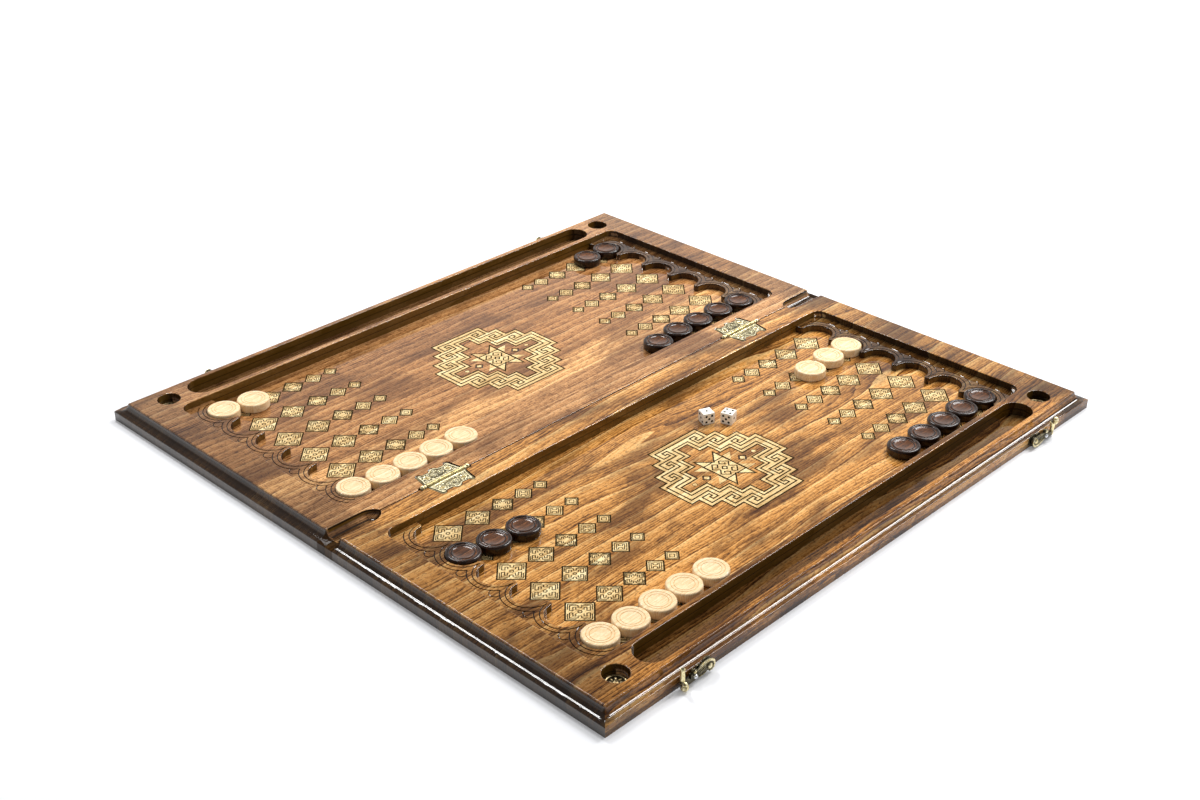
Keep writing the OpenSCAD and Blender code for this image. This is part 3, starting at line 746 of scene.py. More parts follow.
def flatten_broad_faces(obj):
    """Shades each broad level or upright face flat, and leaves the small rounds smooth."""
    mesh = obj.data
    normals = [corner.vector.copy() for corner in mesh.corner_normals]
    for face in mesh.polygons:
        upright = max(abs(face.normal.x), abs(face.normal.y)) > LEVEL
        if abs(face.normal.z) > LEVEL or (upright and face.area > BROAD * MM * MM):
            face.use_smooth = False
            for corner in face.loop_indices:
                normals[corner] = face.normal.copy()
    mesh.normals_split_custom_set(normals)


def rounded_panel(side):
    """Rounds a half of the board, and says how many edges it took and how many faces it has."""
    sign = 1 if side == "right" else -1
    by_mould = MOULD_W + 1
    made = copy(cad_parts["panel_" + side], "rounded_panel_" + side)
    weld(made)
    bpy.ops.mesh.dissolve_limited(angle_limit=math.radians(0.5))
    slice_across((1, 0, 0), [sign * by_mould, sign * (HALF_W - by_mould)])
    slice_across((0, 1, 0), [by_mould - END_Y, END_Y - by_mould, CUT_FROM_END - END_Y,
                             END_Y - CUT_FROM_END])
    pick(made, "VERT", lambda p, n: abs(p.y) > END_Y - 0.1 and abs(p.z - LIP_Z) < 0.1)
    bpy.ops.transform.translate(**move(z=-LIP_SLOPE))
    bpy.ops.mesh.select_mode(type="EDGE")
    bpy.ops.mesh.select_all(action="DESELECT")
    mesh = bmesh.from_edit_mesh(made.data)
    for edge in mesh.edges:
        edge.select_set(is_rounded(edge))
    chosen = sum(edge.select for edge in mesh.edges)
    bmesh.update_edit_mesh(made.data)
    bpy.ops.mesh.bevel(offset=EDGE_ROUND * MM, segments=3, affect="EDGES")
    done()
    bpy.ops.object.shade_smooth_by_angle(angle=math.radians(40))
    modify(made, "WEIGHTED_NORMAL", weight=100, keep_sharp=True)
    flatten_broad_faces(made)
    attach(made, side + "_half")
    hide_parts("panel_" + side)
    return chosen, len(made.data.polygons)


for side in board_finish:
    print("rounded edges and faces of the", side, "half:", rounded_panel(side))

# %% [markdown]
# The points and medallions are cut into the board a hair deep and left unstained, with a fret of
# fine grooves that are scorched dark. They could be a drawing on the board's surface, but then a
# slanting look would show no depth. So each is a thin pale plate in its recess, a little smaller
# all round, on a lower base that fills the recess and shows as a dark line round the plate. A
# groove is drawn as a chain of edges, pulled up to a thin wall, given its width by Solidify, and
# cut out of the plate. Only one quarter is drawn: the pattern is its own mirror image both ways.

# %% Tools for carving
PLATE_TOP = FLOOR_Z - 0.03
PLATE_BOTTOM = FLOOR_Z - 0.4
BASE_TOP = FLOOR_Z - 0.15
BASE_GAP = 0.03
GROOVE_BOTTOM = FLOOR_Z - 0.14


def chain(name, points):
    """Draws points as a row of edges, by extruding one vertex from each to the next."""
    bpy.ops.mesh.primitive_plane_add(size=MM, location=Vector(points[0]) * MM)
    made = bpy.context.object
    edit(made)
    bpy.ops.mesh.merge(type="CENTER")
    for here, there in zip(points, points[1:]):
        bpy.ops.mesh.extrude_region_move(
            TRANSFORM_OT_translate=move(*(Vector(there) - Vector(here))))
    done()
    return named(name)


def mirrored_chain(name, points, z, mirror_x=True):
    """A level chain and its mirror images, in both ways or in Y alone."""
    made = chain(name, [(x, y, z) for x, y in points])
    modify(made, "MIRROR", use_axis=(mirror_x, True, False), merge_threshold=0.00001)
    return made


def plate(name, points, low, high, mirror_x=True):
    """A flat solid whose outline is a mirrored chain."""
    made = mirrored_chain(name, points, low, mirror_x)
    edit(made)
    bpy.ops.mesh.edge_face_add()
    bpy.ops.mesh.extrude_region_move(TRANSFORM_OT_translate=move(z=high - low))
    face_outwards()
    return made


def groove_cutter(points, width):
    """The solid that cuts one groove and its mirror images."""
    made = mirrored_chain("groove", points, GROOVE_BOTTOM)
    edit(made)
    bpy.ops.mesh.extrude_region_move(TRANSFORM_OT_translate=move(z=1))
    face_outwards()
    modify(made, "SOLIDIFY", thickness=width * MM, offset=0, use_even_offset=True)
    return made


def staircase(corners, grow=0.0):
    """The stepped line round rectangles that share the middle, from the top down to the side."""
    points = [(0, corners[0][1] + grow)]
    for (x, y), (_, below) in zip(corners, corners[1:] + [(0, None)]):
        points.append((x + grow, y + grow))
        points.append((x + grow, below + grow if below is not None else 0))
    return points


print("carving tools ready")

# %% [markdown]
# A point is a row of five diamonds that shrink towards the middle of the board. Standing on its
# side, each is a square with a frame line, four hooked spirals and a little ring. One diamond
# could be scaled to all five sizes, but on the real board the cutter stays nearly as wide, so the
# small ones get a plainer fret: the two largest carry all of it, the third leaves out the ring,
# the fourth has a simpler hook, and the smallest is just two frames.

# %% Diamonds
DIAMONDS = [31.5, 27.6, 23.7, 19.8, 15.9]
DIAMOND_GAP = 0.6
PLATE_GAP = 1.3
FRET_HALF = 11.14
FRET_FRAME = [(2.4, 8.8), (8.8, 8.8), (8.8, 2.4)]
FRET_HOOK = [(0, 5.0), (1.3, 5.0), (1.3, 7.4), (7.4, 7.4), (7.4, 1.5), (5.0, 1.5), (5.0, 5.2),
             (2.9, 5.2), (2.9, 2.3)]
FRET_RING = [(0, 1.5), (1.1, 1.1), (1.5, 0)]
SMALL_FRAME = [(0, 7.3), (7.3, 7.3), (7.3, 0)]
SMALL_HOOK = [(0, 2.0), (2.4, 2.0), (2.4, 4.8), (4.8, 4.8), (4.8, 0)]
SMALL_CORE = [(0, 3.6), (3.6, 3.6), (3.6, 0)]
FRETS = [[FRET_FRAME, FRET_HOOK, FRET_RING], [FRET_FRAME, FRET_HOOK, FRET_RING],
         [FRET_FRAME, FRET_HOOK], [SMALL_FRAME, SMALL_HOOK], [SMALL_FRAME, SMALL_CORE]]
GROOVE_WIDTH = 0.5
GROOVE_GROWTH = 0.3


def square_plate(name, side, top):
    """A square plate, given by half its side."""
    return plate(name, [(0, side), (side, side), (side, 0)], PLATE_BOTTOM, top)


def carved_diamond(index):
    """One size of diamond: the grooved face on its base, turned to stand on a corner."""
    half = DIAMONDS[index] / math.sqrt(8)
    scale = half / FRET_HALF
    made = square_plate("face", half - PLATE_GAP, PLATE_TOP)
    for path in FRETS[index]:
        cut(made, groove_cutter([(x * scale, y * scale) for x, y in path],
                                GROOVE_WIDTH + GROOVE_GROWTH * scale))
    made = join(f"diamond_{index}", square_plate("base", half - BASE_GAP, BASE_TOP), made)
    shift_mesh(made, turn=45)
    return made


models = [carved_diamond(i) for i in range(len(DIAMONDS))]
print("diamond faces:", [len(m.data.polygons) for m in models])

# %% [markdown]
# Six rows stand at each end of each half, at even steps. The largest diamond lies under the
# ledge, and each next one nearly touches the one before, corner to corner. An array modifier
# can't shrink its copies, so each size is copied to its place, and a half's rows are joined.

# %% Rows of diamonds
FIELD_MID = 136
COLUMN_PITCH = 35.4
COLUMNS = [FIELD_MID + (k - 2.5) * COLUMN_PITCH for k in range(6)]
FIRST_DIAMOND_Y = 219.5
BOARD_SIDES = {"right": 1, "left": -1}


def diamond_rows():
    """How far the middle of each diamond lies from the middle of the board's length."""
    places = [FIRST_DIAMOND_Y]
    for before, after in zip(DIAMONDS, DIAMONDS[1:]):
        places.append(places[-1] - (before + after) / 2 - DIAMOND_GAP)
    return places


carvings = []
for side, sign in BOARD_SIDES.items():
    copies = []
    for model, row in zip(models, diamond_rows()):
        for column in COLUMNS:
            for end in (-1, 1):
                made = copy(model, "diamond")
                shift_mesh(made, x=sign * column, y=end * row)
                copies.append(made)
    carvings.append((join(f"carved_points_{side}", *copies), side))
for model in models:
    bpy.data.objects.remove(model)
print("carved points:", [(obj.name, len(obj.data.polygons)) for obj, _ in carvings])

# %% [markdown]
# The medallion is a stepped band round an eight-pointed star. Two lines run along the whole
# band: the inner one keeps to its steps, and the outer one curls into a spiral on each step.
# The band would be tedious as one outline, so it is a stepped slab with a stepped opening cut out.

# %% Medallion band
BAND_OUTER = [(18.0, 60.2), (31.2, 51.6), (44.8, 39.6), (58.9, 29.5)]
BAND_INNER = [(4.3, 46.5), (17.5, 27.2), (31.1, 15.2), (45.2, 5.1)]
BAND_LINE = [(8.7, 50.0), (21.3, 31.2), (35.0, 19.4), (48.9, 9.6)]
SPIRAL_PLACES = [(13.2, 35.6), (27.0, 23.7), (40.4, 14.0)]
SPIRAL_STEPS = [(0, 0), (10.4, 0), (10.4, 5.8), (6.9, 5.8), (6.9, 3.0), (3.5, 3.0), (3.5, 11.0)]
SPIRAL_TOP = 55.4
SPIRAL_SIDE = 54.0
MEDALLION_GAP = 1.4
MEDALLION_LINE = 1.4


def spiral_line():
    """The band's outer line: from each step to the next, with a spiral in each corner."""
    points = [(0, SPIRAL_TOP)]
    for x, y in SPIRAL_PLACES:
        points.append((x, points[-1][1]))
        points += [(x + dx, y + dy) for dx, dy in SPIRAL_STEPS]
    return points + [(SPIRAL_SIDE, points[-1][1]), (SPIRAL_SIDE, 0)]


def stepped_ring(gap, top):
    """The band's shape up to a given height, drawn in by a gap all round."""
    band = plate("band", staircase(BAND_OUTER, -gap), PLATE_BOTTOM, top)
    cut(band, plate("opening", staircase(BAND_INNER, gap), PLATE_BOTTOM - 1, top + 1))
    return band


def medallion_band():
    """The grooved band on its base."""
    band = stepped_ring(MEDALLION_GAP, PLATE_TOP)
    for points in (staircase(BAND_LINE), spiral_line()):
        cut(band, groove_cutter(points, MEDALLION_LINE))
    return join("band", band, stepped_ring(BASE_GAP, BASE_TOP))


print("points on a quarter of the outer line:", len(spiral_line()))

# %% [markdown]
# The star is two crossed shapes, with four little spirals turned on their corners in its square.
# Its eight tips could all be one outline, but the frame line of the square parts four of them off,
# so these become triangles of their own further on. Here too a quarter of each line is enough.

# %% Medallion star
STAR_SQUARE = 12.4
STAR_TIP = 25.0
STAR_SPIRAL = [(0, 5.1), (4.6, 9.7), (10.1, 4.2), (6.95, 1.05), (3.6, 4.4), (5.3, 6.1)]
STAR_MIDDLE = [(0, 2.6), (2.6, 0)]
STAR_LINE = 1.2


def star_shape(gap, top):
    """The star's shape up to a given height, drawn in by a gap all round."""
    edge = STAR_SQUARE - gap
    tip = STAR_TIP - 2.4 * gap
    return plate("star", [(0, edge), (tip, edge), (tip - edge, 0)], PLATE_BOTTOM, top)


def medallion_star():
    """The grooved star on its base."""
    star = star_shape(MEDALLION_GAP, PLATE_TOP)
    for points in (STAR_SPIRAL, STAR_MIDDLE, [(STAR_SQUARE, STAR_SQUARE), (STAR_SQUARE, 0)]):
        cut(star, groove_cutter(points, STAR_LINE))
    return join("star", star, star_shape(BASE_GAP, BASE_TOP))


print("the star is", 2 * STAR_TIP, "mm wide")

# %% [markdown]
# Small plates stand apart from the star and the band: four triangles, two little diamonds and
# two dots. They could be cut out of one large plate, but each is so simple that its outline is
# pulled up to its height. Then all is joined to one medallion and copied to each half.

# %% Medallions in place
STAR_TRIANGLE = [(4.3, 12.9), (13.5, 12.9), (13.5, 22.1)]
ACCENT_Y = 22.2
ACCENT_HALF = 2.8
DOT_Y = 36.4
DOT_R = 1.9


def quarter_plates():
    """The pieces that stand apart: four triangles, two small diamonds and two dots."""
    triangle = mirrored_chain("triangle", STAR_TRIANGLE, PLATE_BOTTOM)
    edit(triangle)
    bpy.ops.mesh.select_all(action="DESELECT")
    for sx in (-1, 1):
        for sy in (-1, 1):
            pick(triangle, "VERT", lambda p, n: p.x * sx > 1 and p.y * sy > 1)
            bpy.ops.mesh.edge_face_add()
    bpy.ops.mesh.select_all(action="SELECT")
    bpy.ops.mesh.extrude_region_move(TRANSFORM_OT_translate=move(z=PLATE_TOP - PLATE_BOTTOM))
    face_outwards()
    parts = [triangle]
    for end in (-1, 1):
        accent = plate("accent", [(0, ACCENT_HALF), (ACCENT_HALF, 0)], PLATE_BOTTOM, PLATE_TOP)
        shift_mesh(accent, y=end * ACCENT_Y)
        bpy.ops.mesh.primitive_cylinder_add(
            vertices=32, radius=DOT_R * MM, depth=(PLATE_TOP - PLATE_BOTTOM) * MM,
            location=(0, end * DOT_Y * MM, (PLATE_TOP + PLATE_BOTTOM) / 2 * MM))
        parts += [accent, named("dot")]
    return parts


medallion = join("medallion", *quarter_plates(), medallion_star(), medallion_band())
for side, sign in BOARD_SIDES.items():
    made = copy(medallion, f"medallion_{side}")
    shift_mesh(made, x=sign * FIELD_MID)
    carvings.append((made, side))
bpy.data.objects.remove(medallion)
print("medallion faces:", len(carvings[-1][0].data.polygons))

# %% [markdown]
# The bare carving shows the board's own grain, only paler, and whatever lies below its face is
# scorched. Two materials would need each face to be sorted. Here the depth below the face picks
# between the two. What is scorched has no coat, or it would mirror the room and turn grey.

# %% Carving finish
def pale_carving():
    """Bare wood on the plates, and scorched wood wherever it lies deeper."""
    material, tree, shader, place = new_material(
        "pale_carving", Coat_Roughness=0.12, Specular_IOR_Level=0.0, Roughness=0.45)
    figure = figured(tree, place, (0.02, 0.3, 0), 19, 95, "ffedba", "f0cf92", "b08a54", 0.9, 0.4)
    z = add(tree, "SeparateXYZ", {0: place}).outputs[2]
    scorched = mm_step(tree, z, PLATE_TOP - 0.06, PLATE_TOP - 0.02, 1, 0)
    feed(shader,
         Base_Color=blend(tree, times(tree, scorched, 0.96), figure["Color"], rgb("140a02")),
         Coat_Weight=calc(tree, "MULTIPLY_ADD", scorched, -0.7, 0.7))
    return material


carving_finish = pale_carving()
for obj, side in carvings:
    paint(obj, carving_finish)
    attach(obj, side + "_half")
print("carvings painted")

# %% [markdown]
# The checkers are turned on a lathe, so each is a profile spun round its axis: a rounded edge, a
# narrow flat rim, a fine ring and a dished middle. Both faces are alike. A cylinder with insets
# would come near, but a profile follows the lathe's own cut. One pale and one dark checker are
# modelled, and each is copied to the places where the checkers lie.

# %% Turned shapes
def turned(name, profile, steps=64):
    """Spins a profile of radius and height points round the upright axis."""
    made = chain(name, [(r, 0, z) for r, z in profile])
    edit(made)
    bpy.ops.mesh.spin(steps=steps, angle=math.tau, center=(0, 0, 0), axis=(0, 0, 1))
    bpy.ops.mesh.select_all(action="SELECT")
    bpy.ops.mesh.remove_doubles(threshold=WELD)
    face_outwards()
    bpy.ops.object.shade_smooth_by_angle(angle=math.radians(35))
    return made


def arc(x, z, radius, start, end, steps):
    """Points along an arc, with angles in degrees from the outward direction."""
    turns = [math.radians(start + (end - start) * i / steps) for i in range(steps + 1)]
    return [(x + radius * math.cos(t), z + radius * math.sin(t)) for t in turns]


CHECKER_R = 13.9
CHECKER_T = 8.0
PALE_FACE = [(0, 0.75), (3, 0.7), (5.5, 0.55), (7.4, 0.32), (7.7, 0.65), (8.0, 0.3), (9.8, 0.12),
             (10.1, 0.45), (10.4, 0.1), (11.2, 0), (12.4, 0.02)]
DARK_FACE = [(0, 1.1), (4, 1.0), (6.6, 0.75), (8.0, 0.5), (8.3, 0.3), (8.7, 0.22), (9.1, 0.3),
             (9.4, 0.75), (9.9, 0.9), (10.4, 0.75), (10.7, 0.2), (11.0, 0.05)]


def turned_checker(name, face, edge, start, steps):
    """A face of radii and depths below its top, then a round edge, and the same below."""
    half = CHECKER_T / 2
    upper = [(r, half - depth) for r, depth in face]
    upper += arc(CHECKER_R - edge, half - edge, edge, start, 0, steps)
    return turned(name, upper + [(r, -z) for r, z in reversed(upper)])


checkers = {"pale": turned_checker("pale_checker", PALE_FACE, 1.4, 80, 6),
            "dark": turned_checker("dark_checker", DARK_FACE, 1.9, 95, 8)}
print("checker faces:", {name: len(obj.data.polygons) for name, obj in checkers.items()})

# %% [markdown]
# The pale checkers are bare wood under a thin satin lacquer, painted darker in their two fine
# grooves as painted shade. The dark ones are stained and coated until they shine, with browner
# wood in the dish and the ring. The tones could fade into each other by the distance from the
# middle, but on a turned piece they change at a ring. So each kind gets two tones, and a face
# takes the second by that distance.

# %% Checker finish
def checker_wood(name, coat, rough, *figure_values):
    """Fine-grained wood under a coat of the given weight."""
    material, tree, shader, place = new_material(
        name, Coat_Weight=coat, Coat_Roughness=0.06, Specular_IOR_Level=0.1)
    figure = figured(tree, place, (0.7, 0.1, 0), 5, 8, *figure_values)
    feed(shader, Base_Color=figure["Color"],
         Roughness=calc(tree, "MULTIPLY_ADD", figure["Pores"], 0.1, rough))
    return material


checker_finish = {
    "pale": (checker_wood("pale_checker", 0.15, 0.42, "fff0d4", "f8deb4", "e6bf8a", 0.6, 0.15),
             checker_wood("pale_groove_shade", 0.1, 0.5, "f6dcb0", "ecca98", "d8b07a", 0.5, 0.3)),
    "dark": (checker_wood("dark_checker", 0.6, 0.3, "4c2812", "2b1608", "100703", 0.6, 0.5),
             checker_wood("dark_dish", 0.6, 0.3, "8e5c38", "603a22", "2e190c", 0.6, 0.5)),
}
# The second tone: painted shade in the pale checkers' grooves, and browner wood in the dark ones'
# dish and ring.
SECOND_TONE = {"pale": ((7.4, 8.05), (9.8, 10.4)), "dark": ((0, 7.9), (9.1, 10.3))}
CHECKER_COUNT = 15

for kind, model in checkers.items():
    paint(model, *checker_finish[kind])
    bands = SECOND_TONE[kind]
    print(kind, "checker, faces in the second tone:", give_second(
        model, lambda p, n: any(low < math.hypot(p.x, p.y) < high for low, high in bands)))
    for number in range(1, CHECKER_COUNT + 1):
        node = f"checker_{kind}_{number:02d}"
        low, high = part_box(node)
        middle = (low + high) / 2 / MM
        made = copy(model, f"{kind}_checker_{number:02d}")
        shift_mesh(made, middle.x, middle.y, middle.z)
        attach(made, node)
        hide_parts(node)
    bpy.data.objects.remove(model)
print(len(checkers) * CHECKER_COUNT, "checkers laid out")

# %% [markdown]
# Opposite sides of a die add up to seven, so three sides tell where all the pips are. Each pip
# is a shallow round pit, drilled with a ball-nosed cutter. All 21 places could be listed for each
# die, but they follow from the patterns of one to six.

# %% Pips
DIE_HALF = 5.25
PIP_STEP = 2.6
PIP_BALL = 1.3
PIP_LIFT = 0.72
SPOTS = {1: [(0, 0)], 2: [(-1, 1), (1, -1)], 4: [(-1, -1), (-1, 1), (1, -1), (1, 1)]}
SPOTS[3] = SPOTS[2] + SPOTS[1]
SPOTS[5] = SPOTS[4] + SPOTS[1]
SPOTS[6] = SPOTS[4] + [(-1, 0), (1, 0)]


def spot_places(top, right, front):
    """The middle of each pip's cutter on a die that stands square at the origin."""
    out = DIE_HALF + PIP_LIFT
    places = []
    for sign, (up, side, near) in ((1, (top, right, 7 - front)), (-1, (7 - top, 7 - right, front))):
        places += [(u * PIP_STEP, v * PIP_STEP, sign * out) for u, v in SPOTS[up]]
        places += [(sign * out, u * PIP_STEP, v * PIP_STEP) for u, v in SPOTS[side]]
        places += [(u * PIP_STEP, sign * out, v * PIP_STEP) for u, v in SPOTS[near]]
    return places


def is_pit(middle, normal):
    """Whether a face lies just below a side of the die and away from its edges."""
    far, next_far, _ = sorted((abs(c) for c in middle), reverse=True)
    return DIE_HALF - 0.6 < far < DIE_HALF - 0.02 and next_far < DIE_HALF - 1.3


print("pips on a die:", len(spot_places(1, 5, 3)))

# %% [markdown]
# A die is an ivory-coloured cube with its edges taken off. Black spots in a texture would stay
# flat, so all the pits are cut at once with balls, and the faces in them get the ink. Each die
# lies turned as it fell.

# %% Dice
DIE_EDGE = 0.5
DICE = {"die_1": {"top": 1, "right": 5, "front": 3, "turn": -22},
        "die_2": {"top": 4, "right": 1, "front": 5, "turn": 16}}


def model_die(name, top, right, front, turn):
    """Makes one die, lays it in its place, and says how many faces its pits have."""
    made = block(name + "_cube", (-DIE_HALF,) * 3, (DIE_HALF,) * 3)
    modify(made, "BEVEL", width=DIE_EDGE * MM, segments=3)
    balls = []
    for place in spot_places(top, right, front):
        bpy.ops.mesh.primitive_uv_sphere_add(
            segments=20, ring_count=12, radius=PIP_BALL * MM, location=Vector(place) * MM)
        balls.append(named("pip"))
    cut(made, join("pips", *balls))
    paint(made, ivory, ink)
    pits = give_second(made, is_pit)
    bpy.ops.object.shade_smooth_by_angle(angle=math.radians(30))
    low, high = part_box(name)
    middle = (low + high) / 2 / MM
    shift_mesh(made, middle.x, middle.y, middle.z, turn=turn)
    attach(made, name)
    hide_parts(name)
    return pits


ivory, tree, shader, place = new_material("ivory", Roughness=0.22, Specular_IOR_Level=0.5)
cloud = noise(tree, place, 260, 3, 0.6)
feed(shader, Base_Color=blend(tree, cloud, rgb("fffcf4"), rgb("f8f2e4")))
ink, tree, shader, place = new_material("ink", Roughness=0.6, Specular_IOR_Level=0.0)
feed(shader, Base_Color=blend(tree, noise(tree, place, 900), rgb("050403"), rgb("120e0b")))
for name, look in DICE.items():
    print(name, "faces in its pits:", model_die(name, **look))

# %% [markdown]
# The fittings are cast from an old-looking pale brass: the high parts are rubbed bright and the
# hollows stay dark. Their relief could be sculpted, but at this size that asks for very many
# faces. So it is drawn with round wires, thick in the middle of a scroll and thin at its ends. A
# wire is a chain of points turned into a curve, given a thickness at each point, and turned back
# into a mesh.

# %% Wires and rings
def wire(name, points, radii):
    """A round bar along points, with a radius at each of them."""
    chain(name, points)
    bpy.ops.object.convert(target="CURVE")
    curve = bpy.context.object
    spline = curve.data.splines[0]
    start = spline.points[0].co.xyz / MM
    if (start - Vector(points[0])).length > (start - Vector(points[-1])).length:
        radii = radii[::-1]
    curve.data.bevel_depth = MM
    curve.data.bevel_resolution = 1
    curve.data.use_fill_caps = True
    for point, radius in zip(spline.points, radii):
        point.radius = radius
    bpy.ops.object.convert(target="MESH")
    return bpy.context.object


def spiral(middle, start, end, first, turns, steps):
    """Flat points that wind round a middle, from one radius to another."""
    found = []
    for i in range(steps + 1):
        part = i / steps
        angle = math.radians(first) + part * turns * math.tau
        radius = start + (end - start) * part
        found.append((middle[0] + radius * math.cos(angle), middle[1] + radius * math.sin(angle)))
    return found


def swelling(count, thin, thick):
    """Radii that grow from thin to thick in the middle and back."""
    return [thin + (thick - thin) * math.sin(math.pi * i / (count - 1)) for i in range(count)]


def ring(middle, major, minor, turn=(0, 0, 0)):
    """A round wire closed to a ring."""
    bpy.ops.mesh.primitive_torus_add(
        major_segments=28, minor_segments=8, major_radius=major * MM, minor_radius=minor * MM,
        location=Vector(middle) * MM, rotation=turn)
    return named("ring")


def pearl(middle, size, scale=(1, 1, 1)):
    """A small ball, or a longish one."""
    bpy.ops.mesh.primitive_uv_sphere_add(
        segments=16, ring_count=10, radius=size * MM, location=Vector(middle) * MM, scale=scale)
    return named("pearl")


print("wires ready")

# %% [markdown]
# Old brass has three tones: rubbed bright where hands touch it, dull beside that, and dark in
# the hollows, partly from patina and partly as painted shade. A mask baked from the shape would
# find the hollows, but it would have to be stored as a picture. Here a hollow is whatever lies
# nearer to the wood than a given distance. The same tree with other colours makes the screws, the
# discs and the steel studs.

# %% Brass finish
def brass(name, bright, dull, dark, hollow=None, axis=2, soft=0.25, depth=0.9):
    """Rubbed brass. Nearer to the wood than the distance called hollow it turns dark, with patina
    and painted shade.
    """
    material, tree, shader, place = new_material(name, Metallic=0.85)
    spots = noise(tree, place, 700, 4, 0.6)
    worn = blend(tree, step(tree, spots, 0.35, 0.62), rgb(dull), rgb(bright))
    tarnish = step(tree, noise(tree, place, 240, 3, 0.7), 0.55, 0.7)
    colour = blend(tree, times(tree, tarnish, 0.55), worn, rgb(dark))
    if hollow is not None:
        out = calc(tree, "ABSOLUTE", add(tree, "SeparateXYZ", {0: place}).outputs[axis])
        # Patina with painted shade: darker nearer to the wood.
        patina_and_shade = mm_step(tree, out, hollow - 0.02, hollow + soft, depth, 0.0)
        colour = blend(tree, patina_and_shade, colour, rgb(dark))
    bump = add(tree, "Bump", {"Strength": 0.3, "Distance": 0.00008, "Height": spots})
    feed(shader, Base_Color=colour, Roughness=calc(tree, "MULTIPLY_ADD", spots, 0.34, 0.2),
         Normal=bump.outputs[0])
    return material


# Hollows dark from patina and painted shade: under the hinge relief, beside the clasp's wires, in
# the disc's sunk field.
hinge_brass = brass("hinge_brass", "fff8d8", "f2e4b4", "54471e", hollow=15.5, depth=0.85)
clasp_brass = brass(
    "clasp_brass", "fff4cc", "c0ac70", "181206", hollow=HALF_W + 4.2, axis=0, soft=1.1)
# Painted shade: the barrel's darker brass tones down the lamp's highlight on it.
shaded_barrel_brass = brass("shaded_barrel_brass", "d0c290", "98864e", "3a2f10")
pin_brass = brass("pin_brass", "fdf2c4", "d9c88e", "4a3c14")
screw_brass = brass("screw_brass", "e4d09a", "a8945c", "3a2e12")
disc_brass = brass("disc_brass", "d8c294", "8c7348", "1c1408", hollow=8.1)
steel = brass("steel", "ffffff", "d4d8e0", "8a9098")
print("brass ready")

# %% [markdown]
# The face of a hinge leaf is a cast relief: a raised border, scrolls, rings round the screws and
# small pearls, and thin rings where the knuckles of the barrel meet. It could be one heavy mesh,
# sculpted freely. But a casting like this is drawn from lines, and both its ends are alike, so
# the lines are wires on one half of it and the rest is mirrored.

# %% Hinge ornament
LEAF_LOW = 15.4
LEAF_INNER_X = 3.0
LEAF_OUTLINE = [(LEAF_INNER_X, 17.8), (9.5, 16.2), (14.7, 15.4), (15.8, 14.2), (15.5, 12.7),
                (14.6, 11.2), (14.3, 8.4), (14.4, 5.4), (15.2, 3.9), (16.7, 2.3), (17.3, 0)]
BORDER_WIDTH = 1.1
LEAF_SCROLLS = [((9.3, 3.9), 3.2, 0.6, 200, 1.7), ((5.6, 14.2), 1.7, 0.4, 90, 1.3),
                ((12.9, 13.4), 1.3, 0.4, 220, 1.2), ((5.2, 7.6), 1.5, 0.4, -60, 1.3),
                ((12.4, 7.8), 1.1, 0.3, 90, 1.2), ((14.2, 0.6), 1.4, 0.4, 30, 1.1)]
LEAF_PEARLS = [(9.3, 3.9), (12.9, 10.2), (5.8, 10.8), (9.2, 14.6), (4.6, 4.4), (12.2, 1.8)]
SCREW_X = 9.4
SCREW_Y = 11
BARREL_RINGS = {"right": (2.2, 6.2), "left": (8.0, 13.4, 18.8)}
AXIS_Z = 16.15
SCROLL_STEPS = 16


def leaf_border():
    """The raised rim of a leaf, between its outline and the same outline drawn in."""
    middle = (LEAF_INNER_X + LEAF_OUTLINE[-1][0]) / 2
    shrink_x = 1 - BORDER_WIDTH / (LEAF_OUTLINE[-1][0] - middle)
    shrink_y = 1 - BORDER_WIDTH / LEAF_OUTLINE[0][1]
    inner = [(middle + (x - middle) * shrink_x, y * shrink_y) for x, y in LEAF_OUTLINE]
    border = plate("border", [(LEAF_INNER_X, 0)] + LEAF_OUTLINE, LEAF_LOW - 0.1, RIM_Z, False)
    cut(border, plate("inside", [(inner[0][0], 0)] + inner, LEAF_LOW - 1, RIM_Z + 1, False))
    return border


def leaf_ornament(side):
    """The relief on one leaf: scrolls, pearls, rings and the border."""
    parts = []
    for look in LEAF_SCROLLS:
        points = [(x, y, LEAF_LOW + 0.12) for x, y in spiral(*look, SCROLL_STEPS)]
        parts.append(wire("scroll", points, swelling(len(points), 0.22, 0.46)))
    parts += [pearl((x, y, LEAF_LOW), 0.6) for x, y in LEAF_PEARLS]
    parts.append(ring((SCREW_X, SCREW_Y, LEAF_LOW + 0.1), 2.6, 0.42))
    parts += [ring((0, y, AXIS_Z), 1.8, 0.4, (math.radians(90), 0, 0)) for y in BARREL_RINGS[side]]
    ornament = join("ornament", *parts)
    modify(ornament, "MIRROR", use_axis=(False, True, False))
    return join("ornament", ornament, leaf_border())


print("scrolls and pearls on half a leaf:", len(LEAF_SCROLLS), len(LEAF_PEARLS))

# %% [markdown]
# A hinge only turns if its knuckles and its pin fit, so the leaf keeps its knuckles and its screw
# holes from the model. Its face is cut down to a thin sheet, dark with age and with painted shade,
# and the relief is laid on it. Only one leaf of each half is modelled, and copied to the other
# hinge. The barrel is in a darker, duller brass, as painted shade that tones down the lamp's
# highlight on it.

# %% Hinges
HINGE_Y = 180.4
BARREL_REACH = 2.4
LEAF_BOX = (20, 21)
BOARD_ENDS = {"near": -1, "far": 1}


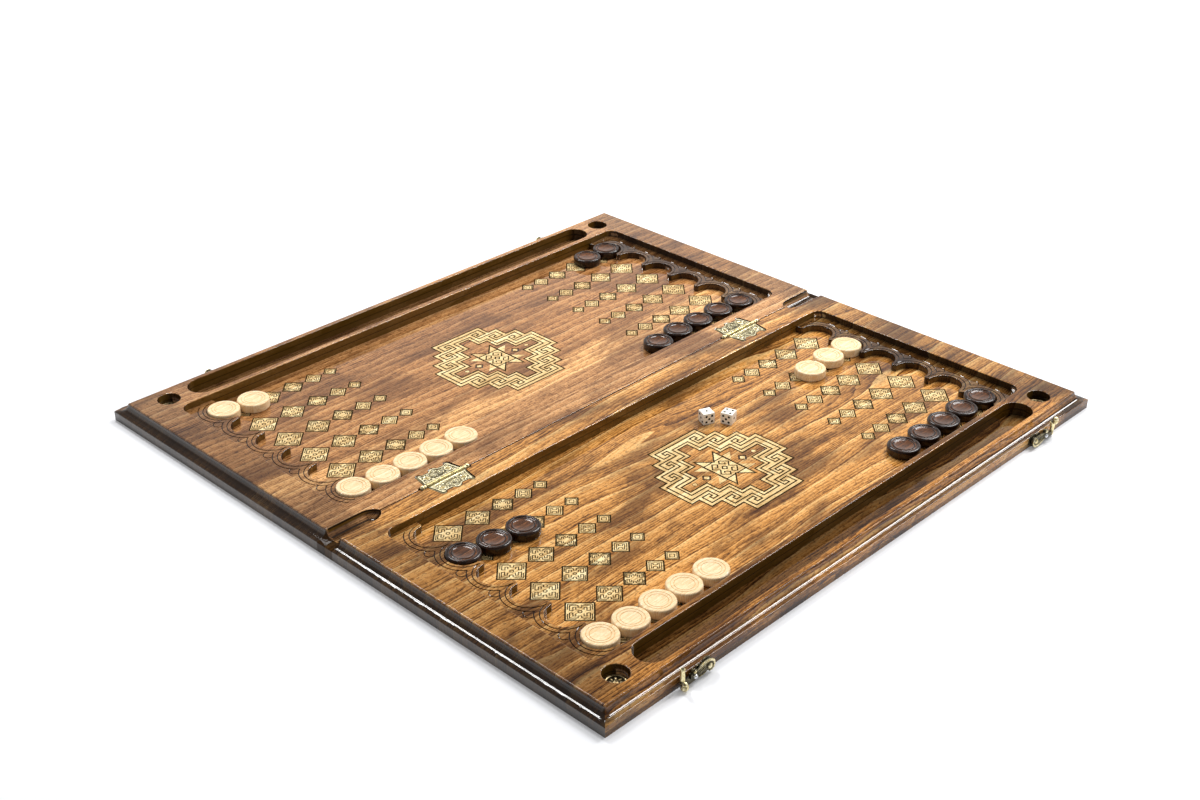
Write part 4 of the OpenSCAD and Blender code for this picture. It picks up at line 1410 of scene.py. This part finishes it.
def relief_leaf(side):
    """The model's leaf with its face cut down to a sheet, and the relief on it."""
    made = copy(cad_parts[f"hinge_leaf_{side}_near"], "leaf_" + side)
    weld(made)
    done()
    shift_mesh(made, y=HINGE_Y)
    far_x, far_y = LEAF_BOX
    above = block("above", (LEAF_INNER_X, -far_y, LEAF_LOW), (far_x, far_y, RIM_Z + 1))
    ornament = leaf_ornament(side)
    if side == "left":
        for part in (above, ornament):
            shift_mesh(part, mirror_x=True)
    cut(made, above)
    for part in (made, ornament):
        paint(part, hinge_brass)
    made = join("leaf_" + side, made, ornament)
    bpy.ops.object.shade_smooth_by_angle(angle=math.radians(35))
    made.data.materials.append(shaded_barrel_brass)
    give_second(made, lambda p, n: abs(p.x) < BARREL_REACH)
    return made


for side in BOARD_SIDES:
    model = relief_leaf(side)
    for end, way in BOARD_ENDS.items():
        made = copy(model, f"relief_leaf_{side}_{end}")
        shift_mesh(made, y=way * HINGE_Y)
        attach(made, side + "_half")
        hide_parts(f"hinge_leaf_{side}_{end}")
    bpy.data.objects.remove(model)
    paint(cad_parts["hinge_screws_" + side], screw_brass)
for end in BOARD_ENDS:
    paint(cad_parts["hinge_pin_" + end], pin_brass)
print("hinges done")

# %% [markdown]
# In each corner well lies a stamped metal disc: a bright bead round the rim, a darker sunk field,
# and a rosette of eight petals round a small boss. A stamp leaves soft domes, so the petals are
# flattened balls half sunk in a spun dish. One disc is modelled and copied into each well.

# %% Well discs
WELL_X = 265
WELL_Y = 262
WELL_Z = 7.3
DISC_PROFILE = [(0, 1.0), (1.5, 1.0), (2.1, 0.7), (6.4, 0.62), (6.8, 0.95), (7.6, 1.15),
                (8.4, 1.0), (8.9, 0.6), (9.0, 0)]
PETALS = 8
PETAL_R = 4.3


def well_disc():
    """One disc at the origin: the spun dish, its petals and the ring round its boss."""
    base = turned("disc", DISC_PROFILE + [(0, 0)], 48)
    petals = []
    for number in range(PETALS):
        petal = pearl((0, 0, 0), 1.0, (1.7, 0.85, 0.4))
        shift_mesh(petal, x=PETAL_R, z=0.68)
        shift_mesh(petal, turn=360 / PETALS * number)
        petals.append(petal)
    return join("well_disc", base, *petals, ring((0, 0, 0.95), 1.6, 0.22))


model = well_disc()
paint(model, disc_brass)
for side, sign in BOARD_SIDES.items():
    for end, way in BOARD_ENDS.items():
        made = copy(model, f"stamped_disc_{side}_{end}")
        shift_mesh(made, sign * WELL_X, way * WELL_Y, WELL_Z)
        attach(made, side + "_half")
        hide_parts(f"well_disc_{side}_{end}")
bpy.data.objects.remove(model)
print("well discs done")

# %% [markdown]
# A clasp is a hook that turns on a rivet, and its pivot end is cast as a curled leaf. That leaf
# could be cut from a sheet, but cast ones swell and taper, so its curls and veins are wires that
# grow and shrink. The two hooks are nearly mirror images, so every point is given along the hook
# and not along the board.

# %% Hook leaf
CLASP_Z = 6
HOOK_OUT = 4.2
HOOKS = {"near": (-203, -1), "far": (209, 1)}
CURL = [(13.4, 2.6), (10.6, 4.0), (7.4, 5.0), (4.0, 5.6), (0.8, 5.5), (-2.0, 4.4), (-4.0, 2.4),
        (-4.6, -0.2), (-3.8, -2.6), (-1.8, -3.9), (0.4, -3.9)]
CURL_RADII = [0.5, 0.8, 1.0, 1.2, 1.2, 1.2, 1.1, 1.0, 0.9, 0.8, 0.5]
VEINS = [[(12.6, 0.6), (9.6, 1.8), (6.4, 2.9), (3.4, 3.6), (1.0, 3.7)],
         [(11.8, -1.2), (8.8, -0.4), (6.0, 0.8), (3.8, 1.8)],
         [(13.0, -3.2), (9.4, -3.4), (6.0, -3.3), (3.4, -2.9)]]


def on_hook(end, out, along, up):
    """A point given by how far it stands out, how far it lies along the hook, and its height."""
    pivot, way = HOOKS[end]
    return HALF_W + out, pivot + way * along, CLASP_Z + up


def hook_leaf(end):
    """The curled leaf at the pivot. It curls up on the near hook and down on the far one."""
    flip = 1 if end == "near" else -0.8
    parts = [wire("curl", [on_hook(end, HOOK_OUT, s, flip * h) for s, h in CURL], CURL_RADII)]
    for path in VEINS:
        points = [on_hook(end, HOOK_OUT - 0.1, s, flip * h) for s, h in path]
        parts.append(wire("vein", points, swelling(len(path), 0.35, 0.7)))
    parts.append(pearl(on_hook(end, HOOK_OUT, -1.6, flip * 4.2), 0.9))
    parts.append(pearl(on_hook(end, HOOK_OUT, 15.3, 3.4), 1.5, (0.9, 1, 1)))
    return parts


print("curls and veins on a hook:", 1 + len(VEINS))

# %% [markdown]
# The free end of a hook is an upright tapered finger with a ball, and its middle carries a
# polished steel stud. The finger's profile is spun like a checker's, with a bead ring at each
# end. The stud could be sunk in the hook as half a ball, but on the real one it stands clear, so
# it sits on a thin collar.

# %% Finger and stud
FINGER_S = 26.5
FINGER_OUT = 3.1
STUD_S = 15.1
STUD_R = 1.75


def finger_sleeve(end):
    """The finger, widest beside its ball: low down on the near hook, high up on the far one."""
    low, high = (-0.9, 11.6) if end == "near" else (-4.3, 8.2)
    thin, wide = (1.6, 2.1) if end == "near" else (2.1, 1.6)
    span = high - low
    profile = [(0, 0), (wide - 0.4, 0), (wide, 0.4), (wide - 0.25, 0.9), (wide - 0.25, 1.4),
               ((wide + thin) / 2, span / 2), (thin, span - 1.2), (thin + 0.25, span - 0.9),
               (thin + 0.25, span - 0.4), (thin - 0.2, span), (0, span)]
    sleeve = turned("sleeve", profile, 24)
    x, y, z = on_hook(end, FINGER_OUT, FINGER_S, low)
    shift_mesh(sleeve, x, y, z)
    return sleeve


def steel_stud(end):
    """A polished ball on a thin collar, small enough to clear the catch when the clasp is shut."""
    ball = pearl(on_hook(end, HOOK_OUT + 0.5, STUD_S, -0.4), STUD_R)
    foot = Vector(on_hook(end, HOOK_OUT - 0.4, STUD_S, -0.4))
    bpy.ops.mesh.primitive_cylinder_add(
        vertices=32, radius=(STUD_R - 0.1) * MM, depth=0.8 * MM, location=foot * MM,
        rotation=(0, math.radians(90), 0))
    made = join("steel_stud_" + end, named("collar"), ball)
    bpy.ops.object.shade_smooth_by_angle(angle=math.radians(40))
    paint(made, steel)
    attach(made, "hook_" + end)
    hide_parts("hook_stud_" + end)


print("stud:", 2 * STUD_R, "mm across,", STUD_S, "mm from the rivet")

# %% [markdown]
# The whole hook could be modelled afresh, but its body has to fit the rivet and the catch, so that
# comes from the model. The leaf and the finger are joined to it, and only the mouth for the catch
# stays bare. Plates, catches, rivets and nails keep their shapes and get their brass.

# %% Clasps
def dressed_hook(end):
    """The hook's body from the model, with its leaf and its finger on it."""
    parts = [copy(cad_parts["hook_" + end], "hook_body"), finger_sleeve(end)]
    parts += hook_leaf(end)
    for part in parts:
        paint(part, clasp_brass)
    paint(parts[1], pin_brass)
    made = join("dressed_hook_" + end, *parts)
    bpy.ops.object.shade_smooth_by_angle(angle=math.radians(40))
    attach(made, "hook_" + end)
    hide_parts("hook_" + end)
    return made


for end in HOOKS:
    print(end, "hook faces:", len(dressed_hook(end).data.polygons))
    steel_stud(end)
for name in ("clasp_plate_near", "clasp_plate_far", "catch_near", "catch_far", "clasp_rivets"):
    paint(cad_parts[name], clasp_brass)
for name in ("clasp_nails", "catch_nails"):
    paint(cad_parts[name], screw_brass)
print("clasps painted")
